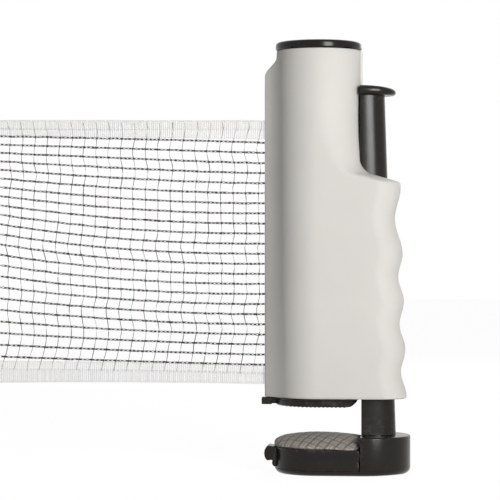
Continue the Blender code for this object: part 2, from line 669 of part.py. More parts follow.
def make_lower_jaw(material):
    """Block and base plate in one moulding, hollowed from below on both sides of a web."""
    rings = []
    for step in range(4):
        angle = math.pi / 2 * step / 3
        inset = BASE_ROUND * (1 - math.sin(angle))
        height = JAW_BOTTOM + BASE_ROUND * (1 - math.cos(angle))
        half = JAW_HALF - inset
        rings.append(plan(-JAW_TIP + inset, JAW_HEEL - inset, half, half, half, height))
    rings.append(plan(-JAW_TIP, JAW_HEEL, JAW_HALF, JAW_HALF, JAW_HALF, BLOCK_TOP - BLOCK_EDGE))
    edge = JAW_HALF - BLOCK_EDGE
    rings.append(plan(-JAW_TIP + BLOCK_EDGE, JAW_HEEL - BLOCK_EDGE, edge, edge, edge, BLOCK_TOP))
    jaw = loft("lower_jaw", rings, material)
    tray_space = box("tray_space_tool", (-JAW_TIP - OVERCUT, -JAW_HALF - OVERCUT, BASE_TOP),
                     (block_face(), JAW_HALF + OVERCUT, 0))
    inner = JAW_HALF - JAW_WALL
    hollow = loft("jaw_hollow_tool", [
        plan(block_face() + JAW_WALL, JAW_HEEL - JAW_WALL, inner, BLOCK_EDGE, inner - BASE_ROUND / 2,
             height) for height in (JAW_BOTTOM - OVERCUT, BLOCK_TOP - JAW_WALL)])
    web = box("web_tool", (0, -WEB_HALF, JAW_BOTTOM - 2 * OVERCUT), (JAW_HEEL, WEB_HALF, 0))
    cut(hollow, web)
    cut(jaw, tray_space, hollow)
    for x, y in jaw_screw_places():
        head = rod("jaw_sink_tool", JAW_SCREW_HEAD + GAP, JAW_BOTTOM - OVERCUT,
                   JAW_BOTTOM + JAW_SCREW_SINK + JAW_SCREW_HEAD_HEIGHT + GAP, centre=(x, y), steps=16)
        hole = rod("jaw_hole_tool", SCREW_RADIUS + GAP, JAW_BOTTOM, 0, centre=(x, y), steps=12)
        cut(jaw, head, hole)
    return jaw


def block_face():
    """The flat face of the block, level with the column's flat side."""
    return COLUMN_FACE - GAP


def carrier_plan(height, grow=0.0, side_steps=1):
    half = JAW_HALF - CARRIER_INSET + grow
    left = -JAW_TIP + CARRIER_INSET - grow
    right = block_face() - GAP
    return plan(left, right + min(grow, 0.0), half, half, CARRIER_CORNER, height, side_steps)


def make_pad_carrier(material):
    """The tray on the base plate, with a nose at its tip for lifting it out."""
    bottom = BASE_TOP + GAP
    carrier = loft("pad_carrier", [carrier_plan(bottom), carrier_plan(CARRIER_RIM)], material)
    recess = loft("carrier_recess_tool", [
        carrier_plan(bottom + CARRIER_WALL, -CARRIER_WALL),
        carrier_plan(CARRIER_RIM + OVERCUT, -CARRIER_WALL)])
    cut(carrier, recess)
    root = -JAW_TIP + CARRIER_INSET + CARRIER_WALL / 2
    top = CARRIER_RIM + 0.4 * CARRIER_WALL
    bulge = (NOSE_REACH - JAW_TIP) * 0.5
    outline = [(root, bottom + 0.0008), (-JAW_TIP - 0.0006, bottom + 0.0008),
               (-JAW_TIP - 0.0012, bottom + 0.0022), (-JAW_TIP - 0.0006, bottom + 0.0040)]
    centre_x = -NOSE_REACH + bulge
    centre_z = top - bulge * 1.55
    for step in range(9):
        angle = math.radians(250 - 170 * step / 8)
        outline.append((centre_x + bulge * math.cos(angle),
                        centre_z + 1.55 * bulge * math.sin(angle)))
    outline.append((root, CARRIER_RIM))
    nose = extruded("nose_tool", [(x, -NOSE_HALF, z) for x, z in outline], (0, 2 * NOSE_HALF, 0))
    return join(carrier, nose)


def crown(x, y):
    """How far the lower pad's face lies under its crest."""
    return x * x / (2 * PAD_BOW_LONG) + y * y / (2 * PAD_BOW_WIDE)


def make_lower_pad(material):
    """A crowned rubber pad that hangs over the carrier's rim and is plugged into its tray."""
    plug = -CARRIER_WALL - GAP
    rings = [carrier_plan(BASE_TOP + CARRIER_WALL + 2 * GAP, plug, PAD_SIDE_STEPS),
             carrier_plan(CARRIER_RIM + GAP, plug, PAD_SIDE_STEPS),
             carrier_plan(CARRIER_RIM + GAP, -PAD_LEDGE, PAD_SIDE_STEPS)]
    for step in range(PAD_RINGS + 1):
        inset = PAD_LEDGE + (PAD_FLAT - PAD_LEDGE) * (step / PAD_RINGS) ** 1.4
        ring = carrier_plan(0, -inset, PAD_SIDE_STEPS)
        for point in ring:
            point.z = PAD_CREST
            if step < PAD_RINGS:
                point.z -= crown(point.x, point.y)
        rings.append(ring)
    return loft("lower_pad", rings, material)


# ---------------------------------------------------------------- roller

def make_roller(plastic, steel, twine):
    """Axle, drum, its two plugs, the wound net and the rewind spring with its fixed arbor."""
    hub_top = JAW_TOP + SPIGOT_HEIGHT + HUB_HEIGHT
    cap_web = HOUSING_TOP + GAP - CAP_WEB
    rod("roller_axle", AXLE_RADIUS, JAW_TOP + GAP, cap_web - GAP, steel, steps=16)
    bore = AXLE_RADIUS + TURN_GAP
    inner = DRUM_RADIUS - DRUM_WALL
    low = hub_top + GAP
    drum_low = low + PLUG_FLANGE_THICKNESS + GAP
    ring_solid("roller_drum", inner, DRUM_RADIUS, drum_low, DRUM_TOP, plastic)
    flange = DRUM_RADIUS + PLUG_FLANGE
    fit = inner - GAP
    turned("drum_plug_bottom", [
        (bore, low), (flange, low), (flange, low + PLUG_FLANGE_THICKNESS),
        (fit, low + PLUG_FLANGE_THICKNESS), (fit, low + PLUG_DEPTH), (bore, low + PLUG_DEPTH)], plastic)
    high = DRUM_TOP + GAP + PLUG_FLANGE_THICKNESS
    turned("drum_plug_top", [
        (bore, high), (bore, high - PLUG_DEPTH), (fit, high - PLUG_DEPTH),
        (fit, DRUM_TOP + GAP), (flange, DRUM_TOP + GAP), (flange, high)], plastic)
    ring_solid("net_roll", DRUM_RADIUS + GAP, ROLL_RADIUS, NET_BOTTOM, NET_TOP, twine)
    ring_solid("spring_arbor", AXLE_RADIUS + GAP, ARBOR_RADIUS, ARBOR_BOTTOM,
               ARBOR_BOTTOM + ARBOR_HEIGHT, steel)


# ---------------------------------------------------------------- springs

def least_gap(points, wire):
    """Smallest distance between turns of a wound wire, surface to surface."""
    least = math.inf
    for i, here in enumerate(points):
        for there in points[i + TURN_POINTS // 2 + 1:]:
            least = min(least, (here - there).length - wire)
    return least


def wire_tube(name, points, wire, material):
    curve = bpy.data.curves.new(name, "CURVE")
    curve.dimensions = "3D"
    curve.bevel_depth = wire / 2
    curve.bevel_resolution = 1
    curve.use_fill_caps = True
    spline = curve.splines.new("POLY")
    spline.points.add(len(points) - 1)
    for target, point in zip(spline.points, points):
        target.co = (*point, 1.0)
    curve.materials.append(material)
    thing = bpy.data.objects.new(name, curve)
    bpy.context.scene.collection.objects.link(thing)
    print(name, "least gap between turns, mm:", round(least_gap(points, wire) * 1000, 2))
    return thing


def make_clamp_spring(material):
    """A compression spring with one closed turn at each end, between the seat and the ceiling."""
    low = SEAT_HEIGHT + SEAT_THICKNESS + GAP + CLAMP_WIRE / 2
    high = column_ceiling() - GAP - CLAMP_WIRE / 2
    rise = (high - low - 2 * CLAMP_DEAD_PITCH) / (CLAMP_TURNS - 2)
    x = spring_centre()
    points = []
    for i in range(CLAMP_TURNS * TURN_POINTS + 1):
        turn = i / TURN_POINTS
        height = low + CLAMP_DEAD_PITCH * min(turn, 1.0)
        height += rise * min(max(turn - 1.0, 0.0), CLAMP_TURNS - 2)
        height += CLAMP_DEAD_PITCH * max(turn - (CLAMP_TURNS - 1), 0.0)
        angle = 2 * math.pi * turn
        points.append(Vector((x + CLAMP_COIL * math.cos(angle), CLAMP_COIL * math.sin(angle), height)))
    return wire_tube("clamp_spring", points, CLAMP_WIRE, material)


def spring_centre():
    """The spring stands in the middle of the column's hollow, at its narrow top."""
    left = COLUMN_FACE + COLUMN_WALL
    right = column_reach(column_ceiling()) - COLUMN_WALL
    return (left + right) / 2


def make_spring_seat(material):
    """A bent steel strip: its leg hooks inside the tube, its tongue reaches under the spring."""
    top = SEAT_HEIGHT + SEAT_THICKNESS
    inside = BORE_RADIUS - 3 * GAP
    outline = [(inside, SEAT_HEIGHT - SEAT_HOOK), (inside, SEAT_HEIGHT),
               (COLUMN_FACE + COLUMN_WALL + SEAT_LENGTH, SEAT_HEIGHT),
               (COLUMN_FACE + COLUMN_WALL + SEAT_LENGTH, top), (inside - SEAT_THICKNESS, top),
               (inside - SEAT_THICKNESS, SEAT_HEIGHT - SEAT_HOOK)]
    return extruded("spring_seat", [(x, -SEAT_HALF, z) for x, z in outline],
                    (0, 2 * SEAT_HALF, 0), material)


def make_rewind_spring(material):
    """A torsion spring round the axle, from the arbor up to the drum's top plug."""
    low = ARBOR_BOTTOM + ARBOR_HEIGHT / 2
    points = [Vector((REWIND_COIL, 0, low - REWIND_LEG))]
    for i in range(REWIND_TURNS * TURN_POINTS + 1):
        turn = i / TURN_POINTS
        angle = 2 * math.pi * turn
        points.append(Vector((REWIND_COIL * math.cos(angle), REWIND_COIL * math.sin(angle),
                              low + REWIND_PITCH * turn)))
    points.append(points[-1] + Vector((0, 0, REWIND_LEG)))
    return wire_tube("rewind_spring", points, REWIND_WIRE, material)


# ---------------------------------------------------------------- net

def net_share(x):
    """0 at the net's far end, 1 where it enters the lip."""
    far = -NET_START - NET_LENGTH
    near = -LIP_REACH_LOW
    return min(max((x - far) / (near - far), 0.0), 1.0)


def tape_width(x):
    near = net_share(x)
    return TAPE_FAR + (TAPE_NEAR - TAPE_FAR) * near


def net_bottom(x):
    return NET_BOTTOM + BOTTOM_RISE * (1 - net_share(x))


def net_point(column, row):
    """A knot of the net; its rows crowd upwards towards the far end."""
    x = -NET_START - NET_LENGTH * (1 - column / NET_COLUMNS)
    top = NET_TOP - tape_width(x) - GAP - NET_STRAND / 2
    bottom = net_bottom(x) + tape_width(x) + GAP + NET_STRAND / 2
    down = row / NET_ROWS
    lift = NET_LIFT * math.sin(math.pi * down) * (1 - net_share(x)) ** 2
    return Vector((x, 0, top + (bottom - top) * down + lift))


def make_net(material):
    """A sheet of cells, each opened by an inset, then given the twine's thickness."""
    bm = bmesh.new()
    knots = [[bm.verts.new(net_point(column, row)) for row in range(NET_ROWS + 1)]
             for column in range(NET_COLUMNS + 1)]
    for column in range(NET_COLUMNS):
        for row in range(NET_ROWS):
            bm.faces.new((knots[column][row], knots[column + 1][row],
                          knots[column + 1][row + 1], knots[column][row + 1]))
    bm.normal_update()
    cells = bm.faces[:]
    bmesh.ops.inset_individual(bm, faces=cells, thickness=NET_STRAND / 2, use_even_offset=True)
    bmesh.ops.delete(bm, geom=cells, context="FACES_ONLY")
    bmesh.ops.solidify(bm, geom=bm.faces[:], thickness=NET_STRAND)
    middle = sum((vert.co.y for vert in bm.verts), 0.0) / len(bm.verts)
    bmesh.ops.translate(bm, verts=bm.verts, vec=(0, -middle, 0))
    return finish_mesh(bm, "net_mesh", material)


def make_tapes(material):
    far = -NET_START - NET_LENGTH
    near = -NET_START
    half = TAPE_THICKNESS / 2
    push = (0, TAPE_THICKNESS, 0)
    turn = -LIP_REACH_LOW
    stations = (far, turn, near)
    top = [(x, -half, NET_TOP) for x in stations]
    top += [(x, -half, NET_TOP - tape_width(x)) for x in reversed(stations)]
    extruded("top_tape", top, push, material)
    bottom = [(x, -half, net_bottom(x)) for x in stations]
    bottom += [(x, -half, net_bottom(x) + tape_width(x)) for x in reversed(stations)]
    extruded("bottom_tape", bottom, push, material)


def make_net_end_bar(material):
    right = -NET_START - NET_LENGTH - GAP
    rings = [plan(right - BAR_WIDTH, right, BAR_HALF, BAR_HALF / 2, BAR_HALF / 2, height)
             for height in (NET_BOTTOM - BAR_OVER, NET_TOP + BAR_OVER)]
    return loft("net_end_bar", rings, material)


# ---------------------------------------------------------------- screws

def make_screw(name, radius, head, head_height, bottom, top, centre, material):
    return turned(name, [(0, bottom), (head, bottom), (head, bottom + head_height),
                         (radius, bottom + head_height), (radius, top), (0, top)],
                  material, centre, steps=12)


def make_screws(material):
    names = ("front", "rear")
    for name, centre in zip(names, jaw_screw_places()):
        make_screw("jaw_screw_" + name, SCREW_RADIUS, JAW_SCREW_HEAD, JAW_SCREW_HEAD_HEIGHT,
                   JAW_BOTTOM + JAW_SCREW_SINK, COLUMN_BOTTOM + JAW_SCREW_BITE, centre, material)
    head = UPPER_PAD_THICKNESS + GAP
    for name, side in zip(names, (-1, 1)):
        centre = (PLATE_SCREW_X, side * PLATE_SCREW_Y)
        make_screw("plate_screw_" + name, PLATE_SCREW_RADIUS, PLATE_SCREW_HEAD,
                   PLATE_SCREW_HEAD_HEIGHT, head, HOUSING_BOTTOM + PLATE_SCREW_BITE, centre, material)


def main():
    clear_scene()
    pale = make_material("pale_plastic", (0.72, 0.70, 0.65), 0.38)
    black = make_material("black_plastic", (0.035, 0.032, 0.030), 0.42)
    gloss = make_material("gloss_black", (0.02, 0.02, 0.02), 0.15)
    rubber = make_material("pad_rubber", (0.30, 0.27, 0.24), 0.85)
    dark_rubber = make_material("dark_rubber", (0.05, 0.05, 0.05), 0.8)
    steel = make_material("spring_steel", (0.60, 0.60, 0.62), 0.30, 1.0)
    twine = make_material("net_twine", (0.07, 0.05, 0.04), 0.9)
    tape = make_material("white_tape", (0.85, 0.85, 0.84), 0.8)
    inner = make_material("inner_plastic", (0.55, 0.55, 0.54), 0.5)
    make_housing(pale)
    make_top_cap(gloss)
    make_upper_jaw(black)
    make_upper_pad(dark_rubber)
    make_column_guide(black)
    make_column(black)
    make_lower_jaw(black)
    make_pad_carrier(black)
    make_lower_pad(rubber)
    make_roller(inner, steel, twine)
    make_clamp_spring(steel)
    make_spring_seat(steel)
    make_rewind_spring(steel)
    make_net(twine)
    make_tapes(tape)
    make_net_end_bar(black)
    make_screws(steel)


main()
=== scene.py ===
"""Finished surfaces of a table tennis net clamp post with a roll-up net.

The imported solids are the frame. Each operator below makes one piece, or a group of like pieces, in
the place of its solid. Sizes are in metres, +Z is up, and the table face is at Z = 0.
"""
import math
from functools import cache

import bmesh
import bpy
from bpy.props import FloatProperty, FloatVectorProperty, IntProperty, PointerProperty
from mathutils import Matrix, Vector, noise


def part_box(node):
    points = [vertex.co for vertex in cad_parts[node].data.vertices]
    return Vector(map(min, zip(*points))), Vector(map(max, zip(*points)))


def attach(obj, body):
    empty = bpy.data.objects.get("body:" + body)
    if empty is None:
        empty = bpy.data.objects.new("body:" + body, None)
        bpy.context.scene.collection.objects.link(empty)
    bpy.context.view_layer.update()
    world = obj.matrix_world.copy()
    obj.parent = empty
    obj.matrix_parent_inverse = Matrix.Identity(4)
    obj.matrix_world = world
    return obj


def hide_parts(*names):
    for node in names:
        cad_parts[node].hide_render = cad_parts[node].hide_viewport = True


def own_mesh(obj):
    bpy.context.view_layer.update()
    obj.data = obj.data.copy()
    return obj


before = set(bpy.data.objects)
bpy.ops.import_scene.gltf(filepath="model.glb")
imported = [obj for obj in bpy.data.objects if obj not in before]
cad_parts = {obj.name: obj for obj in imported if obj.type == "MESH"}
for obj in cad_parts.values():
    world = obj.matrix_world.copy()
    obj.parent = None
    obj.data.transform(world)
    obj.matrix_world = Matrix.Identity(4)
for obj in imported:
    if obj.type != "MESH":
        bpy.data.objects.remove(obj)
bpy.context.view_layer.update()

bl_info = {
    "name": "Net Clamp Post",
    "version": (1, 0, 0),
    "blender": (4, 5, 0),
    "location": "View3D > Sidebar > Net Clamp",
    "description": "Builds the finished surfaces of a clamp post with its roll-up net",
    "category": "Add Mesh",
}

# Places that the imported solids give
HOUSING_LOW, HOUSING_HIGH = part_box("housing_body")
CAP_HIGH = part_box("top_cap")[1]
PLATE_LOW, PLATE_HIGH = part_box("upper_jaw")
PAD_LOW, PAD_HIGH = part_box("upper_pad")
COLUMN_LOW, COLUMN_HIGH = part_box("clamp_column")
JAW_LOW, JAW_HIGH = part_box("lower_jaw")
TRAY_LOW, TRAY_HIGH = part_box("pad_carrier")
CROWN_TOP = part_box("lower_pad")[1].z
GUIDE_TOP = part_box("column_guide")[1].z
SPRING_LOW, SPRING_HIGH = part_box("clamp_spring")
SEAT_LOW, SEAT_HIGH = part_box("spring_seat")
NET_LOW, NET_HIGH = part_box("net_mesh")
TOP_TAPE_LOW, TOP_TAPE_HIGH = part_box("top_tape")
BOTTOM_TAPE_LOW, BOTTOM_TAPE_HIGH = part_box("bottom_tape")
BAR_LOW, BAR_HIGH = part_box("net_end_bar")
ROLL_LOW, ROLL_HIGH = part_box("net_roll")

# Play between pieces, and how far a cutting shape stands out over what it cuts
FIT = 0.0003
CLEARANCE = 0.0004              # round the sliding column
OVER = 0.002
EDGE = 0.0004                   # small radius on moulded edges

# The tube and its lip for the net
TUBE_RADIUS = HOUSING_HIGH.y
TUBE_WALL = 0.0022
FOOT = HOUSING_LOW.z
LIP_REACH_LOW = -HOUSING_LOW.x
LIP_REACH_HIGH = 0.0289
LIP_TOP = 0.1774
LIP_HALF = 0.003
LIP_JOIN_LOW = 52               # degrees round the tube from its front, at the lip's foot
LIP_JOIN_HIGH = 62              # and at its top
LIP_SOFT = 0.0009               # rounding where the lip is cut off at 45 degrees
SLOT_HALF = 0.0010
SLOT_TOP = 0.158
RAIL_HALF = 0.0022
RAIL_HEIGHT = 0.0008

# The finger grip
GRIP_REACH = HOUSING_HIGH.x
GRIP_LEAN = 0.028
GRIP_CORNER = 0.013
GRIP_WALL = 0.0022
GRIP_LIP_ROUND = 0.002
FINGERS = 3
FINGER_PITCH = 0.0255
FINGER_DEPTH = 0.0027
INDEX_PITCH = 0.0361
INDEX_DEPTH = 0.0036
SHELF_SLOPE = math.radians(16)
SHELF_FILLET = 0.009
BLEND_HEIGHT = 0.020            # over which the grip's corners open into the tube's round
GUIDE_REACH = 0.0430
INDEX_START = FOOT + FINGERS * FINGER_PITCH
GRIP_TOP = INDEX_START + INDEX_PITCH

# Parts inside the housing's ends
BORE_RADIUS = TUBE_RADIUS - TUBE_WALL
SPIGOT_WALL = 0.0020
HUB_RADIUS = 0.0050
HUB_BORE = 0.0023

# Column and thumb plate
COLUMN_FACE = COLUMN_LOW.x
COLUMN_HALF = 0.010
COLUMN_WALL = 0.0020
COLUMN_REACH_LOW = 0.0411
COLUMN_REACH_HIGH = 0.0352
CHANNEL_CORNER = 0.0075
HUG_LOW = 0.048                 # above this height the column hugs the tube
HUG_LEFT = 0.0222
SEAT_THICKNESS = 0.0020         # of the spring's bracket, where it goes through both walls
THUMB_BOTTOM = 0.1648
THUMB_ROUND = 0.0022
THUMB_TAPER = 0.0018            # the plate gets this much thinner to its tip

# Jaws
PLATE_REACH = 0.0178
PLATE_CHAMFER = 0.0042
BLOCK_FACE = TRAY_HIGH.x + FIT
BASE_TOP = -0.0333
BASE_ROUND = 0.0036
BLOCK_EDGE = 0.0008
JAW_WALL = 0.0026
WEB_HALF = 0.0072
SCREW_PLACES = [((low.x + high.x) / 2, (low.y + high.y) / 2) for low, high in
                (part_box("jaw_screw_front"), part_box("jaw_screw_rear"))]
SCREW_SINK_RADIUS = 0.0033
SCREW_SINK_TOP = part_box("jaw_screw_front")[0].z + 0.0025

# Tray and lower pad
CARRIER_RIM = -0.0222
CARRIER_WALL = 0.0020
TRAY_GROWS = 0.0006             # the tray's side runs on from the base plate
TRAY_SET_BACK = 0.0008          # of the tray's round end, from the base plate's
TRAY_MIDDLE = JAW_LOW.x + TRAY_SET_BACK + TRAY_HIGH.y
NOSE_HALF = 0.0070
PAD_BOW_LONG = 0.102
PAD_BOW_WIDE = 0.038
PAD_BOW_BLOCK = 0.150           # the crown is flatter towards the block
PAD_TIP = 0.0008                # the pad's tip stands out over the tray
PAD_LEDGE = 0.0005
PAD_CORNER = 0.006              # where the pad turns along the block
TILE_RIBS = 3                   # fine ribs in each tile of the tread
TILE_RIB_DEPTH = 0.00010
GROOVE_SHARE = 0.11             # of a tile's width, on each side of a line
CROSS_SHARE = 0.10
CROSS_DEPTH = 0.7               # of the depth of the grooves along the lines

# Width of each tape at its far end and at the lip, and the same for its line of stitches
TOP_WIDTH = (0.0081, 0.0101)
BOTTOM_WIDTH = (0.0121, 0.0100)
TOP_STITCH = (0.0049, 0.0052)
BOTTOM_STITCH = (0.0074, 0.0057)
TOP_RISE = 0.0008
BOTTOM_BOW = 0.0024
TAPE_HALF = TOP_TAPE_HIGH.y
CLOTH = 0.00022                 # thickness of the tape's woven cloth
STITCH_PITCH = 0.0019
TAPE_SPARE = 0.00008            # left for the waves in the cloth
TAPE_STEPS = 9                  # in each wall of its section, and in each of its two folds

# Net: heights of the first and last rows at the lip and at the far end
NEAR_ROWS = (0.1401, 0.0213)
FAR_ROWS = (0.1442, 0.0251)
FAR_BOW = 0.056                 # the middle rows lie this share of the height higher there
COLUMN_PITCH = 0.00677
FIRST_COLUMN = -0.0185
END_MARGIN = 0.001              # lumps keep this far inside the net's ends
ROW_WANDER = 0.00022            # how far a row strays from its line
ROW_SHIFT = 0.0009              # of a row's twist along it
FOOT_HEIGHT = 0.018             # over which the cross twines lean to their foot
FOOT_LEAN = 0.0027
TWINE_SWAY = 0.0034             # shared by the cross twines of one neighbourhood
TWINE_STRAY = 0.0004            # each twine's own
BEAD_STRAY = 0.00035


# ---------------------------------------------------------------- settings a user would change

class FinishSettings(bpy.types.PropertyGroup):
    """Colours of the finishes."""

    housing_colour: FloatVectorProperty(
        name="Housing", description="Warm light grey of the moulded housing",
        subtype="COLOR", default=(0.72, 0.70, 0.655), min=0, max=1)
    black_colour: FloatVectorProperty(
        name="Black plastic", description="Column, jaws and tray",
        subtype="COLOR", default=(0.012, 0.0095, 0.007), min=0, max=1)
    pad_colour: FloatVectorProperty(
        name="Pad rubber", description="Grey-brown rubber of the lower pad",
        subtype="COLOR", default=(0.57, 0.515, 0.46), min=0, max=1)
    twine_colour: FloatVectorProperty(
        name="Twine", description="Dark brown twine of the net",
        subtype="COLOR", default=(0.030, 0.022, 0.016), min=0, max=1)
    tape_colour: FloatVectorProperty(
        name="Tape", description="White tape along the net's edges",
        subtype="COLOR", default=(1.0, 0.985, 0.97), min=0, max=1)


class NetSettings(bpy.types.PropertyGroup):
    """Counts and thicknesses of the knotted net and its tapes."""

    rows: IntProperty(
        name="Rows", description="Twisted twines that run along the net", default=23, min=4)
    columns: IntProperty(
        name="Columns", description="Thin twines that run across the net", default=24, min=4)
    ply: FloatProperty(
        name="Ply", description="Thickness of one of a row's two plies",
        default=0.00034, unit="LENGTH", min=0.0001)
    ply_orbit: FloatProperty(
        name="Ply orbit", description="Distance of each ply from the middle of its row",
        default=0.00042, unit="LENGTH", min=0.0001)
    twist: FloatProperty(
        name="Twist", description="Length of a full turn of the two plies",
        default=0.0045, unit="LENGTH", min=0.001)
    cross_twine: FloatProperty(
        name="Cross twine", description="Thickness of the thin twines between the rows",
        default=0.00034, unit="LENGTH", min=0.0001)
    rib_pitch: FloatProperty(
        name="Tape rib", description="Spacing of the woven ribs across the tape",
        default=0.0011, unit="LENGTH", min=0.0002)


class PadSettings(bpy.types.PropertyGroup):
    """Tread of the two rubber pads."""

    tile: FloatProperty(
        name="Tile", description="Spacing of the lower pad's grooves",
        default=0.0045, unit="LENGTH", min=0.001)
    groove: FloatProperty(
        name="Groove", description="Depth of the lower pad's grooves",
        default=0.00045, unit="LENGTH", min=0.0)
    tread_angle: FloatProperty(
        name="Tread angle", description="How far the grooves are turned from square",
        default=math.radians(27), subtype="ANGLE")
    serration: FloatProperty(
        name="Serration", description="Spacing of the ribs on the upper pad's face and edge",
        default=0.0022, unit="LENGTH", min=0.0005)


class StudioSettings(bpy.types.PropertyGroup):
    """Camera and lamps."""

    distance: FloatProperty(
        name="Camera distance", description="From the camera to the plane of the net",
        default=1.14, unit="LENGTH")
    yaw: FloatProperty(
        name="Camera yaw", description="The camera stands this far to the right",
        default=math.radians(4.4), subtype="ANGLE")
    lens: FloatProperty(
        name="Lens", description="Focal length on a 36 mm sensor", default=153.6,
        unit="CAMERA")
    key: FloatProperty(name="Key lamp", description="Power of the lamp at the right", default=11.4)
    back: FloatProperty(name="Back lamp", description="Power of the lamp behind", default=2.0)
    ambient: FloatProperty(name="Ambient", description="Strength of the room light", default=0.145)


def settings(context):
    return context.scene.net_clamp


# ---------------------------------------------------------------- outlines

def mix(low, high, share):
    return low + (high - low) * share


def unit(value):
    """The value, kept between 0 and 1."""
    return min(max(value, 0.0), 1.0)


def drift(x, y, z):
    """Smooth noise between about -1 and 1."""
    return noise.noise(Vector((x, y, z)))


def arc(centre, radius, start, end, steps):
    """Points of an arc, angles in degrees, both ends included."""
    angles = [math.radians(start + (end - start) * i / steps) for i in range(steps + 1)]
    return [(centre[0] + radius * math.cos(angle), centre[1] + radius * math.sin(angle))
            for angle in angles]


def both_sides(half_line):
    """An outline from its half on one side of Y = 0, with every point of the half mirrored."""
    return half_line + [(x, -y) for x, y in reversed(half_line)]


def plan(left, right, half, left_corner, right_corner, steps=16):
    """A level outline, symmetric about Y = 0, with a corner radius at each end."""
    return both_sides(arc((left + left_corner, half - left_corner), left_corner, 180, 90, steps)
                      + arc((right - right_corner, half - right_corner), right_corner, 90, 0, steps))


def at(outline, height):
    return [Vector((x, y, height)) for x, y in outline]


# ---------------------------------------------------------------- mesh helpers

def loop_edges(ring):
    """The edges that join a ring's corners."""
    inside = set(ring)
    return [edge for edge in {edge for vert in ring for edge in vert.link_edges}
            if edge.verts[0] in inside and edge.verts[1] in inside]


def boundary(bm):
    return [edge for edge in bm.edges if edge.is_boundary]


def next_ring(bm, ring):
    """Extrudes a ring of corners once, and gives the new corner above each old one."""
    grown = bmesh.ops.extrude_edge_only(bm, edges=loop_edges(ring))["geom"]
    new = {item for item in grown if isinstance(item, bmesh.types.BMVert)}
    return [next(edge.other_vert(vert) for edge in vert.link_edges if edge.other_vert(vert) in new)
            for vert in ring]


def place_ring(ring, outline):
    for vert, place in zip(ring, outline):
        vert.co = place


def lofted(outlines):
    """A closed shape: the first outline, extruded through the others."""
    bm = bmesh.new()
    ring = bmesh.ops.create_circle(bm, segments=len(outlines[0]), radius=1.0)["verts"]
    place_ring(ring, outlines[0])
    bmesh.ops.contextual_create(bm, geom=loop_edges(ring))
    for outline in outlines[1:]:
        ring = next_ring(bm, ring)
        place_ring(ring, outline)
    bmesh.ops.contextual_create(bm, geom=loop_edges(ring))
    return bm


def spun(profile, steps=96, centre=(0.0, 0.0)):
    """Turns (radius, height) pairs about a line along Z. Ends on the line close the shape."""
    bm = bmesh.new()
    x, y = centre
    verts = [bm.verts.new((x + radius, y, height)) for radius, height in profile]
    edges = [bm.edges.new(pair) for pair in zip(verts, verts[1:])]
    if profile[0][0] > 0 and profile[-1][0] > 0:
        edges.append(bm.edges.new((verts[-1], verts[0])))
    bmesh.ops.spin(bm, geom=verts + edges, cent=(x, y, 0), axis=(0, 0, 1), dvec=(0, 0, 0),
                   angle=2 * math.pi, steps=steps, use_merge=True, use_duplicate=False)
    return bm


def rod(radius, low, high, steps=96, centre=(0.0, 0.0), inner=0.0):
    """An upright rod, or a ring where it has an inner radius."""
    return spun([(inner, low), (radius, low), (radius, high), (inner, high)], steps, centre)


def boxed(low, high):
    """A cube scaled and moved between two corners."""
    bm = bmesh.new()
    low, high = Vector(low), Vector(high)
    bmesh.ops.create_cube(bm, size=1.0)
    bmesh.ops.scale(bm, verts=bm.verts, vec=high - low)
    bmesh.ops.translate(bm, verts=bm.verts, vec=(low + high) / 2)
    return bm


def formed_grid(columns, rows, place):
    """A grid whose corners are moved to place(u, v), with u and v from 0 to 1."""
    bm = bmesh.new()
    bmesh.ops.create_grid(bm, x_segments=columns, y_segments=rows, size=0.5)
    for vert in bm.verts:
        vert.co = place(vert.co.x + 0.5, vert.co.y + 0.5)
    bmesh.ops.remove_doubles(bm, verts=bm.verts, dist=1e-7)
    return bm


def wire_ring(bm, radius, segments, axis, middle, capped=False):
    """A small circle that stands across a wire at its start."""
    ring = bmesh.ops.create_circle(bm, segments=segments, radius=radius, cap_ends=capped)["verts"]
    bmesh.ops.rotate(bm, verts=ring, cent=(0, 0, 0), matrix=Matrix.Rotation(math.pi / 2, 3, axis))
    bmesh.ops.translate(bm, verts=ring, vec=middle)
    return ring + loop_edges(ring)


def as_mesh(bm, name):
    """Merges doubles and turns the faces outwards."""
    bmesh.ops.remove_doubles(bm, verts=bm.verts, dist=1e-7)
    bmesh.ops.recalc_face_normals(bm, faces=bm.faces)
    mesh = bpy.data.meshes.new(name)
    bm.to_mesh(mesh)
    bm.free()
    return mesh


def as_object(bm, name):
    thing = bpy.data.objects.new(name, as_mesh(bm, name))
    bpy.context.scene.collection.objects.link(thing)
    return thing


def lump(size):
    """A round lump with few faces, to be repeated along the net."""
    bm = bmesh.new()
    bmesh.ops.create_uvsphere(bm, u_segments=6, v_segments=4, radius=1.0)
    bmesh.ops.scale(bm, verts=bm.verts, vec=size)
    return as_mesh(bm, "lump")


def add_copy(bm, mesh, move):
    """Adds a copy of a mesh, each of its corners moved by a function."""
    start = len(bm.verts)
    bm.from_mesh(mesh)
    bm.verts.ensure_lookup_table()
    for vert in bm.verts[start:]:
        vert.co = move(vert.co)


def add_lump(bm, mesh, middle, size=1.0, lean=0.0):
    """Adds a lump at a place, made larger and leaned over in the plane of the net."""
    turn = Matrix.Rotation(lean, 3, "Y")
    add_copy(bm, mesh, lambda place: middle + turn @ place * size)


def apply_all(thing):
    """Keeps the shape that the modifiers give, and removes them."""
    bpy.context.view_layer.update()
    graph = bpy.context.evaluated_depsgraph_get()
    mesh = bpy.data.meshes.new_from_object(thing.evaluated_get(graph))
    thing.modifiers.clear()
    thing.data = mesh


